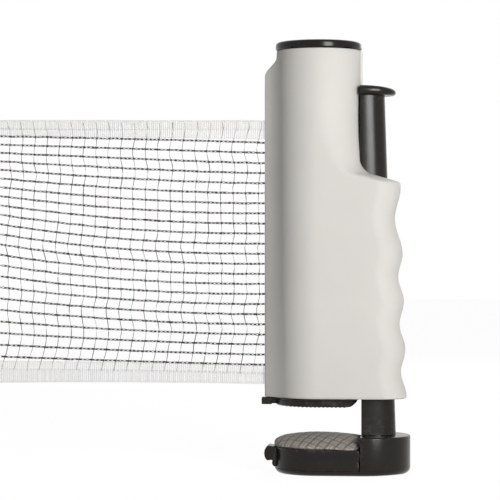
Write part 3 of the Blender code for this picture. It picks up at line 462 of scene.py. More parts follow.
def boolean(thing, bm, operation="DIFFERENCE"):
    """Cuts a shape out of a piece, or joins it on."""
    tool = as_object(bm, "tool")
    step = thing.modifiers.new("step", "BOOLEAN")
    step.operation = operation
    step.solver = "EXACT"
    step.object = tool
    apply_all(thing)
    bpy.data.objects.remove(tool)


def less(shape, *cuts):
    """A shape with others cut out of it, as a cutting shape of its own."""
    thing = as_object(shape, "cutter")
    for cut in cuts:
        boolean(thing, cut)
    bm = bmesh.new()
    bm.from_mesh(thing.data)
    bpy.data.objects.remove(thing)
    return bm


def soften(thing, width, angle=40, segments=2):
    """Rounds the edges that are sharper than the angle."""
    step = thing.modifiers.new("edges", "BEVEL")
    step.limit_method = "ANGLE"
    step.angle_limit = math.radians(angle)
    step.width = width
    step.segments = segments
    step.profile = 0.5
    apply_all(thing)


def bevel(bm, edges, width, segments):
    bmesh.ops.bevel(bm, geom=edges, offset=width, offset_type="OFFSET", affect="EDGES",
                    segments=segments, profile=0.5, clamp_overlap=True, material=-1)


def mark_wear_and_highlight_edges(thing, turn=20):
    """Marks the corners that lie on an edge, where handling rubs the plastic and where the finish paints a
    highlight along the edge.
    """
    bm = bmesh.new()
    bm.from_mesh(thing.data)
    layer = bm.verts.layers.float.new("edge_wear_and_highlight")
    for edge in bm.edges:
        if len(edge.link_faces) == 2 and edge.calc_face_angle() > math.radians(turn):
            for vert in edge.verts:
                vert[layer] = 1.0
    bm.to_mesh(thing.data)
    bm.free()


def dress(thing, finish, body, *nodes, crease=40):
    """Smooth shading, a finish, the body that it moves with and the solids it stands for."""
    thing.data.shade_smooth()
    thing.data.set_sharp_from_angle(angle=math.radians(crease))
    thing.data.materials.clear()
    thing.data.materials.append(FINISHES[finish]())
    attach(thing, body)
    if nodes:
        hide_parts(*nodes)


# ---------------------------------------------------------------- node helpers and shared groups

# Sockets of the Mix node when it mixes colours
MIX_FACTOR, MIX_FIRST, MIX_SECOND, MIX_RESULT = 0, 6, 7, 2

# Noise scales, per metre
FLOW_SCALE = 26.0
PATCH_SCALE = 55.0
DUST_SCALE = 240.0
FUZZ_SCALE = 5200.0
SCUFF_SCALES = ((2400.0, 2400.0, 90.0), (700.0, 90.0, 2600.0))
SLUB_SCALE = (900.0, 900.0, 120.0)
DRAWN_SCALE = (3000.0, 3000.0, 260.0)
COARSE_GRAIN = 0.31             # scale of the coarse grain, as a share of the fine grain's


def fill(tree, node, inputs):
    """Sets or links a node's inputs."""
    for key, value in inputs.items():
        if isinstance(value, bpy.types.NodeSocket):
            tree.links.new(value, node.inputs[key])
        else:
            node.inputs[key].default_value = value
    return node


def put(tree, kind, inputs=(), **options):
    """Adds a shader node, sets its options, and sets or links its inputs."""
    node = tree.nodes.new("ShaderNode" + kind)
    for name, value in options.items():
        setattr(node, name, value)
    return fill(tree, node, dict(inputs))


def calc(tree, operation, *values):
    """One step of arithmetic on sockets or numbers."""
    return put(tree, "Math", enumerate(values), operation=operation).outputs[0]


def noise_value(tree, vector, scale, detail=3.0, roughness=0.55):
    return put(tree, "TexNoise", {"Vector": vector, "Scale": scale, "Detail": detail,
                                  "Roughness": roughness}).outputs["Fac"]


def remap(tree, value, low, high, to_low=0.0, to_high=1.0):
    return put(tree, "MapRange", {"Value": value, "From Min": low, "From Max": high,
                                  "To Min": to_low, "To Max": to_high}).outputs["Result"]


def scaled(tree, vector, scale):
    return put(tree, "Mapping", {"Vector": vector, "Scale": scale}).outputs["Vector"]


def ripple(tree, shape, value, pitch):
    """A sine or cosine of this pitch along a value."""
    turns = calc(tree, "DIVIDE", value, pitch)
    return calc(tree, shape, calc(tree, "MULTIPLY", turns, 2 * math.pi))


def group_tree(name, inputs, outputs):
    """A new node group with its sockets, and its input and output nodes."""
    tree = bpy.data.node_groups.new(name, "ShaderNodeTree")
    for label, kind in inputs.items():
        tree.interface.new_socket(name=label, in_out="INPUT", socket_type="NodeSocket" + kind)
    for label in outputs:
        tree.interface.new_socket(name=label, in_out="OUTPUT", socket_type="NodeSocketFloat")
    return tree, tree.nodes.new("NodeGroupInput").outputs, tree.nodes.new("NodeGroupOutput")


@cache
def moulded_grain():
    """Spark-eroded mould texture, with broad cloudy changes from the flow of the plastic."""
    tree, given, result = group_tree("Moulded grain", {"Vector": "Vector", "Grain": "Float"},
                                     ("Height", "Flow"))
    fine = noise_value(tree, given["Vector"], given["Grain"], detail=2.0)
    coarse = noise_value(tree, given["Vector"], calc(tree, "MULTIPLY", given["Grain"], COARSE_GRAIN))
    broad = noise_value(tree, given["Vector"], FLOW_SCALE, detail=2.0)
    fill(tree, result, {"Height": calc(tree, "ADD", fine, coarse),
                        "Flow": remap(tree, broad, 0.35, 0.65)})
    return tree


@cache
def handling_marks():
    """Fine scuffs in two directions, and dust that gathers in patches."""
    tree, given, result = group_tree("Handling marks", {"Vector": "Vector", "Amount": "Float"},
                                     ("Scuff", "Dust"))
    scuffs = [noise_value(tree, scaled(tree, given["Vector"], scale), 1.0, detail=2.0)
              for scale in SCUFF_SCALES]
    marks = calc(tree, "MAXIMUM", *(remap(tree, lines, 0.66, 0.74) for lines in scuffs))
    patches = noise_value(tree, given["Vector"], PATCH_SCALE, detail=4.0)
    marks = calc(tree, "MULTIPLY", marks, remap(tree, patches, 0.5, 0.66))
    dust = noise_value(tree, given["Vector"], DUST_SCALE, detail=6.0, roughness=0.7)
    fill(tree, result, {"Scuff": calc(tree, "MULTIPLY", marks, given["Amount"]),
                        "Dust": remap(tree, dust, 0.48, 0.72)})
    return tree


@cache
def spun_fibres():
    """Fibres that lie at a slant round a thread that runs along X."""
    tree, given, result = group_tree("Spun fibres", {"Vector": "Vector", "Pitch": "Float"},
                                     ("Height", "Shade"))
    parts = put(tree, "SeparateXYZ", {0: given["Vector"]}).outputs
    along = calc(tree, "ADD", parts["X"], calc(tree, "ADD", parts["Z"], parts["Y"]))
    fuzz = noise_value(tree, given["Vector"], FUZZ_SCALE, detail=4.0)
    height = calc(tree, "ADD", ripple(tree, "SINE", along, given["Pitch"]), fuzz)
    fill(tree, result, {"Height": remap(tree, height, -0.7, 1.7), "Shade": remap(tree, fuzz, 0.3, 0.7)})
    return tree


@cache
def woven_ribs():
    """Ribs across a woven tape, crossed by its finer weft, with slubs."""
    tree, given, result = group_tree("Woven ribs", {"Vector": "Vector", "Pitch": "Float"},
                                     ("Height", "Thin", "Slub"))
    weft_pitch, weft_height = 0.55, 0.35
    parts = put(tree, "SeparateXYZ", {0: given["Vector"]}).outputs
    ribs = ripple(tree, "COSINE", parts["X"], given["Pitch"])
    weft = ripple(tree, "COSINE", parts["Z"], calc(tree, "MULTIPLY", given["Pitch"], weft_pitch))
    height = calc(tree, "ADD", ribs, calc(tree, "MULTIPLY", weft, weft_height))
    whole = 1 + weft_height
    slub = noise_value(tree, scaled(tree, given["Vector"], SLUB_SCALE), 1.0)
    fill(tree, result, {"Height": remap(tree, height, -whole, whole),
                        "Thin": remap(tree, ribs, 0.2, -0.9), "Slub": remap(tree, slub, 0.4, 0.7)})
    return tree


# ---------------------------------------------------------------- finishes

def new_finish(name):
    """A material with a shader, and the socket of the object's own coordinates."""
    material = bpy.data.materials.new(name.replace("_", " ") + " finish")
    material.use_nodes = True
    tree = material.node_tree
    return material, tree, tree.nodes["Principled BSDF"], put(tree, "TexCoord").outputs["Object"]


def use_group(tree, group, **inputs):
    made = tree.nodes.new("ShaderNodeGroup")
    made.node_tree = group
    return fill(tree, made, inputs).outputs


def mark(tree, name):
    """A mark that a mesh carries at its corners."""
    return put(tree, "Attribute", attribute_name=name).outputs["Fac"]


def blend_colours(tree, share, first, second):
    """From the first colour to the second, each a socket or three numbers."""
    first, second = (value if isinstance(value, bpy.types.NodeSocket) else (*value, 1.0)
                     for value in (first, second))
    inputs = {MIX_FACTOR: share, MIX_FIRST: first, MIX_SECOND: second}
    return put(tree, "Mix", inputs, data_type="RGBA").outputs[MIX_RESULT]


def tint(colour, share):
    """The colour made darker, or lighter above 1."""
    return tuple(min(part * share, 1.0) for part in colour)


def mix_colours(first, second, share):
    return tuple(mix(a, b, share) for a, b in zip(first, second))


def bumped(tree, height, depth):
    return put(tree, "Bump", {"Height": height, "Distance": depth}).outputs["Normal"]


def colours():
    return bpy.context.scene.net_clamp.finishes


def plastic(name, colour, gloss, grain, depth, scuff, flow=0.94, dust=0.0, shine=0.5,
            dust_colour=(0.5, 0.48, 0.45)):
    """Moulded plastic. gloss is the roughness of clean and of scuffed places."""
    paling, pale_share, cloud = 0.3, 0.25, 0.03
    material, tree, shader, place = new_finish(name)
    mould = use_group(tree, moulded_grain(), Vector=place, Grain=grain)
    marks = use_group(tree, handling_marks(), Vector=place, Amount=scuff)
    shade = blend_colours(tree, mould["Flow"], colour, tint(colour, flow))
    # Paler, rougher edges in patches: partly wear from handling, partly a painted highlight along the edges.
    wear_and_highlight_patches = calc(tree, "MULTIPLY", mark(tree, "edge_wear_and_highlight"), marks["Dust"])
    marked = calc(tree, "MAXIMUM", marks["Scuff"], wear_and_highlight_patches)
    shade = blend_colours(tree, remap(tree, marked, 0.0, 1.0, 0.0, paling), shade,
                          mix_colours(colour, dust_colour, pale_share))
    if dust:
        shade = blend_colours(tree, remap(tree, marks["Dust"], 0.0, 1.0, 0.0, dust), shade, dust_colour)
    rough = calc(tree, "ADD", remap(tree, marked, 0.0, 1.0, *gloss),
                 remap(tree, mould["Flow"], 0.0, 1.0, -cloud, cloud))
    fill(tree, shader, {"Base Color": shade, "Roughness": rough, "Specular IOR Level": shine,
                        "Normal": bumped(tree, mould["Height"], depth)})
    return material


@cache
def pale_plastic():
    """The housing's plastic, which lets a little light in."""
    material = plastic("pale_plastic", tuple(colours().housing_colour), gloss=(0.60, 0.74), grain=2600.0,
                       depth=0.000012, scuff=0.35, flow=0.975, dust_colour=(0.6, 0.57, 0.52))
    tree = material.node_tree
    fill(tree, tree.nodes["Principled BSDF"], {
        "Subsurface Weight": 0.08, "Subsurface Radius": (0.0016, 0.0013, 0.0010),
        "Subsurface Scale": 1.0})
    return material


@cache
def black_plastic():
    """Satin black of the column, the jaws, the tray and the bar."""
    return plastic("black_plastic", tuple(colours().black_colour), gloss=(0.23, 0.35), grain=3000.0,
                   depth=0.000018, scuff=0.8, flow=0.85, dust=0.006, shine=0.22)


@cache
def gloss_black():
    """The end cap's gloss."""
    return plastic("gloss_black", (0.008, 0.007, 0.006), gloss=(0.16, 0.32), grain=1500.0,
                   depth=0.000004, scuff=1.0, shine=0.20)


@cache
def inner_plastic():
    """Plain grey of the drum and its plugs."""
    return plastic("inner_plastic", (0.55, 0.55, 0.54), gloss=(0.45, 0.60), grain=2400.0,
                   depth=0.000020, scuff=0.6)


def rubber(name, colour, rough, depth, dust_colour):
    """Dusty rubber: lighter where handling rubs it, with painted shade down in the grooves."""
    flow, dust, groove_shade_tint = 0.86, 0.45, 0.10
    material, tree, shader, place = new_finish(name)
    mould = use_group(tree, moulded_grain(), Vector=place, Grain=1900.0)
    marks = use_group(tree, handling_marks(), Vector=place, Amount=1.0)
    shade = blend_colours(tree, mould["Flow"], colour, tint(colour, flow))
    shade = blend_colours(tree, remap(tree, marks["Dust"], 0.0, 1.0, 0.0, dust), shade, dust_colour)
    # Painted shade: the grooves and the troughs of the fine ribs are darkened towards a tenth of the colour.
    shade = blend_colours(tree, mark(tree, "groove_shade_mask"), shade, tint(colour, groove_shade_tint))
    fill(tree, shader, {"Base Color": shade, "Roughness": remap(tree, marks["Dust"], 0.0, 1.0, *rough),
                        "Specular IOR Level": 0.35, "Normal": bumped(tree, mould["Height"], depth)})
    return material


@cache
def pad_rubber():
    """Grey-brown rubber of the lower pad."""
    colour = tuple(colours().pad_colour)
    return rubber("pad_rubber", colour, rough=(0.62, 0.85), depth=0.00008, dust_colour=tint(colour, 1.35))


@cache
def dark_rubber():
    """Black rubber of the upper pad."""
    return rubber("dark_rubber", (0.030, 0.028, 0.026), rough=(0.5, 0.75), depth=0.00006,
                  dust_colour=(0.10, 0.095, 0.09))


@cache
def spring_steel():
    """Drawn wire: bright, with fine streaks and a little tarnish."""
    bright, tarnish = (0.62, 0.61, 0.60), (0.46, 0.44, 0.42)
    material, tree, shader, place = new_finish("spring_steel")
    streaks = noise_value(tree, scaled(tree, place, DRAWN_SCALE), 1.0)
    marks = use_group(tree, handling_marks(), Vector=place, Amount=0.7)
    fill(tree, shader, {"Base Color": blend_colours(tree, marks["Dust"], bright, tarnish),
                        "Roughness": remap(tree, streaks, 0.3, 0.7, 0.22, 0.40), "Metallic": 1.0,
                        "Normal": bumped(tree, streaks, 0.00001)})
    return material


@cache
def net_twine():
    """Dark spun twine with paler broken fibres."""
    material, tree, shader, place = new_finish("net_twine")
    fibres = use_group(tree, spun_fibres(), Vector=place, Pitch=0.00032)
    colour = tuple(colours().twine_colour)
    shade = blend_colours(tree, fibres["Shade"], tint(colour, 0.7), tint(colour, 1.9))
    rough = remap(tree, fibres["Height"], 0.0, 1.0, 0.92, 0.72)
    fill(tree, shader, {"Base Color": shade, "Roughness": rough, "Sheen Weight": 0.15,
                        "Sheen Roughness": 0.5, "Normal": bumped(tree, fibres["Height"], 0.00005)})
    return material


@cache
def white_tape():
    """Thin woven tape: the weave lets a little through between its ribs."""
    slub_shade, thin_shade, doubled_and_seam_shade_tint, doubled_and_seam_cover = 0.92, 0.84, 0.76, 0.12
    material, tree, shader, place = new_finish("white_tape")
    pitch = bpy.context.scene.net_clamp.net.rib_pitch
    weave = use_group(tree, woven_ribs(), Vector=place, Pitch=pitch)
    colour, doubled_and_seam_shade = tuple(colours().tape_colour), mark(tree, "doubled_and_seam_shade")
    shade = blend_colours(tree, weave["Slub"], colour, tint(colour, slub_shade))
    shade = blend_colours(tree, weave["Thin"], shade, tint(colour, thin_shade))
    # Darker where the cloth lies doubled, in the hem and along its border; along the stitch seam the
    # darkening is painted shade of the pinch.
    shade = blend_colours(tree, doubled_and_seam_shade, shade, tint(colour, doubled_and_seam_shade_tint))
    cover = calc(tree, "ADD", remap(tree, weave["Thin"], 0.0, 1.0, 0.20, 0.10),
                 calc(tree, "MULTIPLY", doubled_and_seam_shade, doubled_and_seam_cover))
    rough = remap(tree, weave["Height"], 0.0, 1.0, 0.9, 0.7)
    fill(tree, shader, {"Base Color": shade, "Roughness": rough, "Alpha": cover, "Sheen Weight": 0.2,
                        "Normal": bumped(tree, weave["Height"], 0.00010)})
    return material


FINISHES = {make.__name__: make for make in (
    pale_plastic, black_plastic, gloss_black, inner_plastic, pad_rubber, dark_rubber,
    spring_steel, net_twine, white_tape)}


# ---------------------------------------------------------------- housing

def grip_reach(height):
    """Crest line of the grip, less the finger hollow at this height."""
    crest = GRIP_REACH - GRIP_LEAN * (height - FOOT)
    if height <= INDEX_START:
        turn, depth = (height - FOOT) / FINGER_PITCH, FINGER_DEPTH
    else:
        turn, depth = (height - INDEX_START) / INDEX_PITCH, INDEX_DEPTH
    return crest - depth * (1 - math.cos(2 * math.pi * turn)) / 2


def grip_profile():
    """(reach, height) up the hollows, over the grip's lip, along the shelf and up to the tube."""
    finger_steps, index_steps, lip_steps, shelf_steps, fillet_steps = 14, 18, 8, 6, 16
    heights = [FOOT + FINGER_PITCH * i / finger_steps for i in range(finger_steps * FINGERS)]
    heights += [INDEX_START + INDEX_PITCH * i / index_steps for i in range(index_steps + 1)]
    points = [(grip_reach(height), height) for height in heights]
    rounded = (points[-1][0] - GRIP_LIP_ROUND, points[-1][1])
    slope = math.degrees(SHELF_SLOPE)
    points += arc(rounded, GRIP_LIP_ROUND, 0, 90 - slope, lip_steps)[1:]
    normal = Vector((math.sin(SHELF_SLOPE), math.cos(SHELF_SLOPE)))
    along = normal.dot(Vector(points[-1])) + SHELF_FILLET
    centre_x = TUBE_RADIUS + SHELF_FILLET
    centre = (centre_x, (along - normal.x * centre_x) / normal.y)
    fillet = arc(centre, SHELF_FILLET, 270 - slope, 180, fillet_steps)
    start = Vector(points[-1])
    points += [tuple(start.lerp(Vector(fillet[0]), i / shelf_steps)) for i in range(1, shelf_steps)]
    return points + fillet


def soft_excess(amount):
    """The amount where it is above 0, else 0, with the corner between them rounded off."""
    over = amount / LIP_SOFT
    return LIP_SOFT * (math.log1p(math.exp(over)) if over < 40 else over)


def lip_outline(share, cut):
    """Half of the net lip, hollow-faced from the tube to its edge, cut off at -cut along X."""
    tip, edge = -mix(LIP_REACH_LOW, LIP_REACH_HIGH, share), LIP_HALF / 2
    edge_steps, face_steps = 8, 14
    centre = Vector((tip + edge, edge / 6))
    join, turn = math.radians(mix(LIP_JOIN_LOW, LIP_JOIN_HIGH, share)), math.radians(45)
    root = TUBE_RADIUS * Vector((-math.sin(join), math.cos(join)))
    for _ in range(4):        # closes in on the angle at which the face runs into the edge's round
        step = root - centre - edge * Vector((-math.sin(turn), math.cos(turn)))
        turn = 2 * math.atan2(step.y, step.x) - join
    bend = step.x / (math.sin(join) - math.sin(turn))
    outline = [(tip, 0.0)] + arc(centre, edge, 180, 90 + math.degrees(turn), edge_steps)
    for i in range(1, face_steps + 1):
        angle = mix(turn, join, i / face_steps)
        outline.append((root.x - bend * (math.sin(join) - math.sin(angle)),
                        root.y - bend * (math.cos(angle) - math.cos(join))))
    beyond = soft_excess(cut - TUBE_RADIUS)
    clipped = []
    for x, y in outline:
        on_tube = -math.sqrt(TUBE_RADIUS ** 2 - y ** 2)
        clipped.append((min(max(x, on_tube - beyond), on_tube), y))
    return clipped, 90 + math.degrees(join)


def housing_ring(reach, corner, height, inset=0.0):
    """One level outline of the housing, lip and grip in one. The lip's top is cut at 45 degrees."""
    tube_steps, flat_steps, corner_steps = 22, 4, 18
    cut = LIP_REACH_HIGH - soft_excess(height - LIP_TOP)
    half, turned = lip_outline((height - FOOT) / (LIP_TOP - FOOT), cut)
    half += arc((0, 0), TUBE_RADIUS, turned, 90, tube_steps)[1:]
    flat_end = reach - corner
    half += [(flat_end * i / flat_steps, TUBE_RADIUS) for i in range(1, flat_steps)]
    half += arc((flat_end, TUBE_RADIUS - corner), corner, 90, 0, corner_steps)
    ring = half + [(x, -y) for x, y in reversed(half[1:])]
    shrink = 1 - inset / TUBE_RADIUS
    return at([(x * shrink, y * shrink) for x, y in ring], height)


def corner_at(height, low, high):
    """The grip's corner, which opens smoothly into the tube's round between two heights."""
    share = unit((height - low) / (high - low))
    return mix(GRIP_CORNER, TUBE_RADIUS, share * share * (3 - 2 * share))


def column_reach(height):
    share = (height - COLUMN_LOW.z) / (THUMB_BOTTOM - COLUMN_LOW.z)
    return mix(COLUMN_REACH_LOW, COLUMN_REACH_HIGH, share)


class NETCLAMP_OT_housing(bpy.types.Operator):
    """Make the pale housing: tube, net lip, finger grip, and the ways cut through them"""
    bl_idname = "netclamp.housing"
    bl_label = "Housing"

    def execute(self, context):
        cut_start, cut_step, cut_steps = LIP_TOP - 0.002, 0.0004, 26
        profile, top = grip_profile(), HOUSING_HIGH.z
        low, high = GRIP_TOP, profile[-1][1] + BLEND_HEIGHT
        outlines = [housing_ring(profile[0][0], GRIP_CORNER, FOOT, EDGE)]
        levels = [(reach, max(height, FOOT + EDGE)) for reach, height in profile]
        for start, end, steps in ((profile[-1][1], high, 12), (high, cut_start, 4)):
            levels += [(TUBE_RADIUS, mix(start, end, i / steps)) for i in range(1, steps + 1)]
        levels += [(TUBE_RADIUS, cut_start + cut_step * i) for i in range(1, cut_steps + 1)]
        levels.append((TUBE_RADIUS, top - EDGE))
        outlines += [housing_ring(reach, corner_at(height, low, high), height) for reach, height in levels]
        outlines.append(housing_ring(TUBE_RADIUS, TUBE_RADIUS, top, EDGE / 2))
        housing = as_object(lofted(outlines), "housing")
        rail = boxed((TUBE_RADIUS - TUBE_WALL / 2, -RAIL_HALF, FOOT + EDGE),
                     (TUBE_RADIUS + RAIL_HEIGHT, RAIL_HALF, top - EDGE))
        boolean(housing, rail, "UNION")
        self.open_ways(housing, top)
        dress(housing, "pale_plastic", "housing", "housing_body", crease=50)
        return {"FINISHED"}

    def open_ways(self, housing, top):
        """Bore, net slot, column channel, the guide's pocket, and the bracket's hole."""
        round_off, widening, half = 0.0005, 0.0016, COLUMN_HALF + CLEARANCE
        guide = plan(TUBE_RADIUS / 2, GUIDE_REACH, TUBE_RADIUS - GRIP_WALL, round_off,
                     GRIP_CORNER - GRIP_WALL)
        boolean(housing, less(lofted([at(guide, FOOT - OVER), at(guide, GUIDE_TOP + EDGE)]),
                              rod(TUBE_RADIUS, 0, top)))
        shelf = column_reach(GRIP_TOP) + CLEARANCE
        channel, slimmer = (plan(HUG_LEFT, reach, half, round_off, CHANNEL_CORNER + CLEARANCE)
                            for reach in (shelf + widening, shelf))
        boolean(housing, less(
            lofted([at(channel, FOOT - OVER), at(slimmer, GRIP_TOP), at(slimmer, THUMB_BOTTOM)]),
            rod(TUBE_RADIUS, FOOT - 2 * OVER, top),
            boxed((0, -RAIL_HALF, 0), (TUBE_RADIUS + RAIL_HEIGHT, RAIL_HALF, top))))
        boolean(housing, rod(BORE_RADIUS, 0, top + OVER, steps=128))
        boolean(housing, boxed((-LIP_REACH_LOW - OVER, -SLOT_HALF, 0),
                               (-BORE_RADIUS + OVER, SLOT_HALF, SLOT_TOP)))
        boolean(housing, boxed((BORE_RADIUS - OVER, SEAT_LOW.y - EDGE, SEAT_HIGH.z - SEAT_THICKNESS),
                               (TUBE_RADIUS + OVER, SEAT_HIGH.y + EDGE, SEAT_HIGH.z + EDGE)))


class NETCLAMP_OT_top_cap(bpy.types.Operator):
    """Make the gloss black end cap, with the fine step under its rim"""
    bl_idname = "netclamp.top_cap"
    bl_label = "Top cap"

    def execute(self, context):
        set_back, edge, dish, rim, rim_slope = 0.0002, 0.0016, 0.0004, 0.0046, 0.0006
        step, band, skirt_length, thickness, hub_length = 0.0003, 0.0007, 0.005, 0.0015, 0.0075
        outer, under, top = CAP_HIGH.x - set_back, HOUSING_HIGH.z + FIT, CAP_HIGH.z
        skirt = BORE_RADIUS - FIT
        profile = [(0, top - dish), (outer - rim - rim_slope, top - dish), (outer - rim, top)]
        profile += arc((outer - edge, top - edge), edge, 90, 0, 12)
        profile += [(outer, under + band), (outer - step, under + step), (outer - 2 * step, under),
                    (skirt, under), (skirt, under - skirt_length)]
        profile += [(skirt - SPIGOT_WALL, under - skirt_length), (skirt - SPIGOT_WALL, under - thickness),
                    (HUB_RADIUS, under - thickness), (HUB_RADIUS, under - hub_length),
                    (HUB_BORE, under - hub_length), (HUB_BORE, under - thickness), (0, under - thickness)]
        cap = as_object(spun(profile, steps=128), "end_cap")
        dress(cap, "gloss_black", "housing", "top_cap", crease=35)
        return {"FINISHED"}


# ---------------------------------------------------------------- column and jaws

def bowed_plan(left, tip, half, grow=0.0):
    """Flat against the tube and bowed outwards, as part of a squarish oval."""
    set_back, power, round_off, steps = 0.003, 2.5, 0.0005, 24
    start, corner = COLUMN_FACE - set_back - grow, left + round_off

    def front(x):
        return half * (1 - min((x - start) / (tip - start), 1.0) ** power) ** (1 / power)

    half_line = arc((corner, front(corner) - round_off), round_off, 180, 90, 4)
    places = (mix(corner, tip, math.sin(math.pi / 2 * i / steps)) for i in range(1, steps + 1))
    half_line += [(x, front(x)) for x in places]
    return half_line + [(x, -y) for x, y in reversed(half_line[:-1])]


def column_plan(height, grow=0.0):
    left = HUG_LEFT if height > HUG_LOW and not grow else COLUMN_FACE - grow
    return bowed_plan(left, column_reach(height) + grow, COLUMN_HALF + grow, grow)


class NETCLAMP_OT_column(bpy.types.Operator):
    """Make the sliding column and its thumb plate as one moulding"""
    bl_idname = "netclamp.column"
    bl_label = "Column"

    def execute(self, context):
        top, tube = COLUMN_HIGH.z, TUBE_RADIUS + CLEARANCE
        heights = [mix(COLUMN_LOW.z, HUG_LOW, i / 6) for i in range(7)]
        heights += [mix(HUG_LOW + 0.0001, THUMB_BOTTOM + 0.0005, i / 12) for i in range(13)]
        column = as_object(lofted([at(column_plan(height), height) for height in heights]), "column")
        boolean(column, self.thumb_plate(top, steps=8), "UNION")
        boolean(column, rod(tube, HUG_LOW - OVER / 2, top + OVER))
        self.hollow(column)
        mark_wear_and_highlight_edges(column)
        dress(column, "black_plastic", "clamp", "clamp_column", crease=35)
        return {"FINISHED"}

    def thumb_plate(self, top, steps):
        """Rounded below and above, and thinner towards its tip."""
        reach, half, thick = COLUMN_HIGH.x, COLUMN_HIGH.y, top - THUMB_BOTTOM
        turns = [math.pi / 2 * i / steps for i in range(steps + 1)]
        rings = []
        for turn, above in [(turn, False) for turn in turns] + [(turn, True) for turn in reversed(turns)]:
            inset = THUMB_ROUND * (1 - math.sin(turn))
            lift = THUMB_ROUND * (1 - math.cos(turn))
            height = top - lift if above else THUMB_BOTTOM + lift
            ring = at(bowed_plan(HUG_LEFT, reach - inset, half - inset), height)
            for place in ring:
                out = (place.x - COLUMN_FACE) / (reach - COLUMN_FACE)
                place.z -= THUMB_TAPER * out * out * (height - THUMB_BOTTOM) / thick
            rings.append(ring)
        return lofted(rings)

    def hollow(self, column):
        """The spring's space, its slot, and the groove for the rail."""
        foot, slot, wall = 0.012, 0.034, COLUMN_WALL
        low, high = COLUMN_LOW.z + foot, THUMB_BOTTOM - wall
        boolean(column, lofted([at(column_plan(low, -wall), low), at(column_plan(high, -wall), high)]))
        boolean(column, boxed(
            (COLUMN_FACE - wall, SEAT_LOW.y - CLEARANCE, SEAT_HIGH.z - SEAT_THICKNESS),
            (COLUMN_FACE + 2 * wall, SEAT_HIGH.y + CLEARANCE, SEAT_HIGH.z + slot)))
        boolean(column, boxed(
            (0, -RAIL_HALF - CLEARANCE, COLUMN_LOW.z - wall),
            (TUBE_RADIUS + RAIL_HEIGHT + CLEARANCE, RAIL_HALF + CLEARANCE, COLUMN_HIGH.z + wall)))


class NETCLAMP_OT_upper_jaw(bpy.types.Operator):
    """Make the black plate under the housing, the block that ends the net slot, and the ribbed pad"""
    bl_idname = "netclamp.upper_jaw"
    bl_label = "Upper jaw"

    def execute(self, context):
        low, top, half = PLATE_LOW.z, HOUSING_LOW.z - FIT, PLATE_HIGH.y
        edge, corner, seam_low, seam_high = 0.0005, 0.003, 0.0011, 0.0009
        rings = []
        for height, inset in ((low, edge), (low + edge, 0.0), (top - seam_low, 0.0),
                              (top - seam_high, edge), (top - 0.0003, edge), (top, 0.0004)):
            end = PLATE_REACH + PLATE_CHAMFER * (height - low) / (top - low)
            rings.append(at(plan(-half + inset, end - inset, half - inset, half - inset, corner, 32), height))
        plate = as_object(lofted(rings), "jaw_plate")
        self.add_spigot(plate, top)
        self.add_lip_block(plate, low, top)
        half, reach, corner = PAD_HIGH.y + FIT, PAD_HIGH.x + FIT, 0.0015 + FIT
        pocket = plan(-half, reach, half, half, corner, 32)
        boolean(plate, lofted([at(pocket, low - OVER), at(pocket, PAD_HIGH.z + FIT)]))
        mark_wear_and_highlight_edges(plate)
        dress(plate, "black_plastic", "housing", "upper_jaw", crease=30)
        self.make_pad(settings(context).pads.serration)
        return {"FINISHED"}

    def add_spigot(self, plate, top):
        """The ring that centres the plate in the tube, and the hub under the axle."""
        outer, root = BORE_RADIUS - FIT, top - 0.001
        boolean(plate, rod(outer, root, top + 0.0024, inner=outer - SPIGOT_WALL), "UNION")
        boolean(plate, rod(HUB_RADIUS, root, top + 0.0039, inner=HUB_BORE), "UNION")

    def add_lip_block(self, plate, low, top):
        """The block under the net lip, and the web that joins it to the plate."""
        end, web_half = -LIP_REACH_LOW + 0.0055, 0.0012
        bm = boxed((-LIP_REACH_LOW, -LIP_HALF, low), (end, LIP_HALF, top))
        bevel(bm, bm.edges[:], width=0.0005, segments=3)
        boolean(plate, bm, "UNION")
        boolean(plate, boxed((end - 0.001, -web_half, low + 0.0004), (-TUBE_RADIUS + OVER, web_half, top)),
                "UNION")

    def make_pad(self, pitch):
        """Ribs across the pad's face run out through its edge as fine teeth."""
        half, reach = PAD_HIGH.y, PAD_HIGH.x
        face, depth = PAD_LOW.z - 0.0001, 0.0003

        def ribbed(u, v):
            x, y = mix(-half, reach, u), mix(-half, half, v)
            if x < 0:
                limit = math.sqrt(max(half * half - x * x, 0.0))
                y = min(max(y, -limit), limit)
            wave = (1 + math.cos(2 * math.pi * x / pitch)) / 2
            return Vector((x, y, face + depth * wave))

        bm = formed_grid(120, 40, ribbed)
        for item in bmesh.ops.extrude_edge_only(bm, edges=boundary(bm))["geom"]:
            if isinstance(item, bmesh.types.BMVert):
                item.co.z = PAD_HIGH.z
        bmesh.ops.contextual_create(bm, geom=boundary(bm))
        dress(as_object(bm, "upper_jaw_pad"), "dark_rubber", "housing", "upper_pad", crease=45)


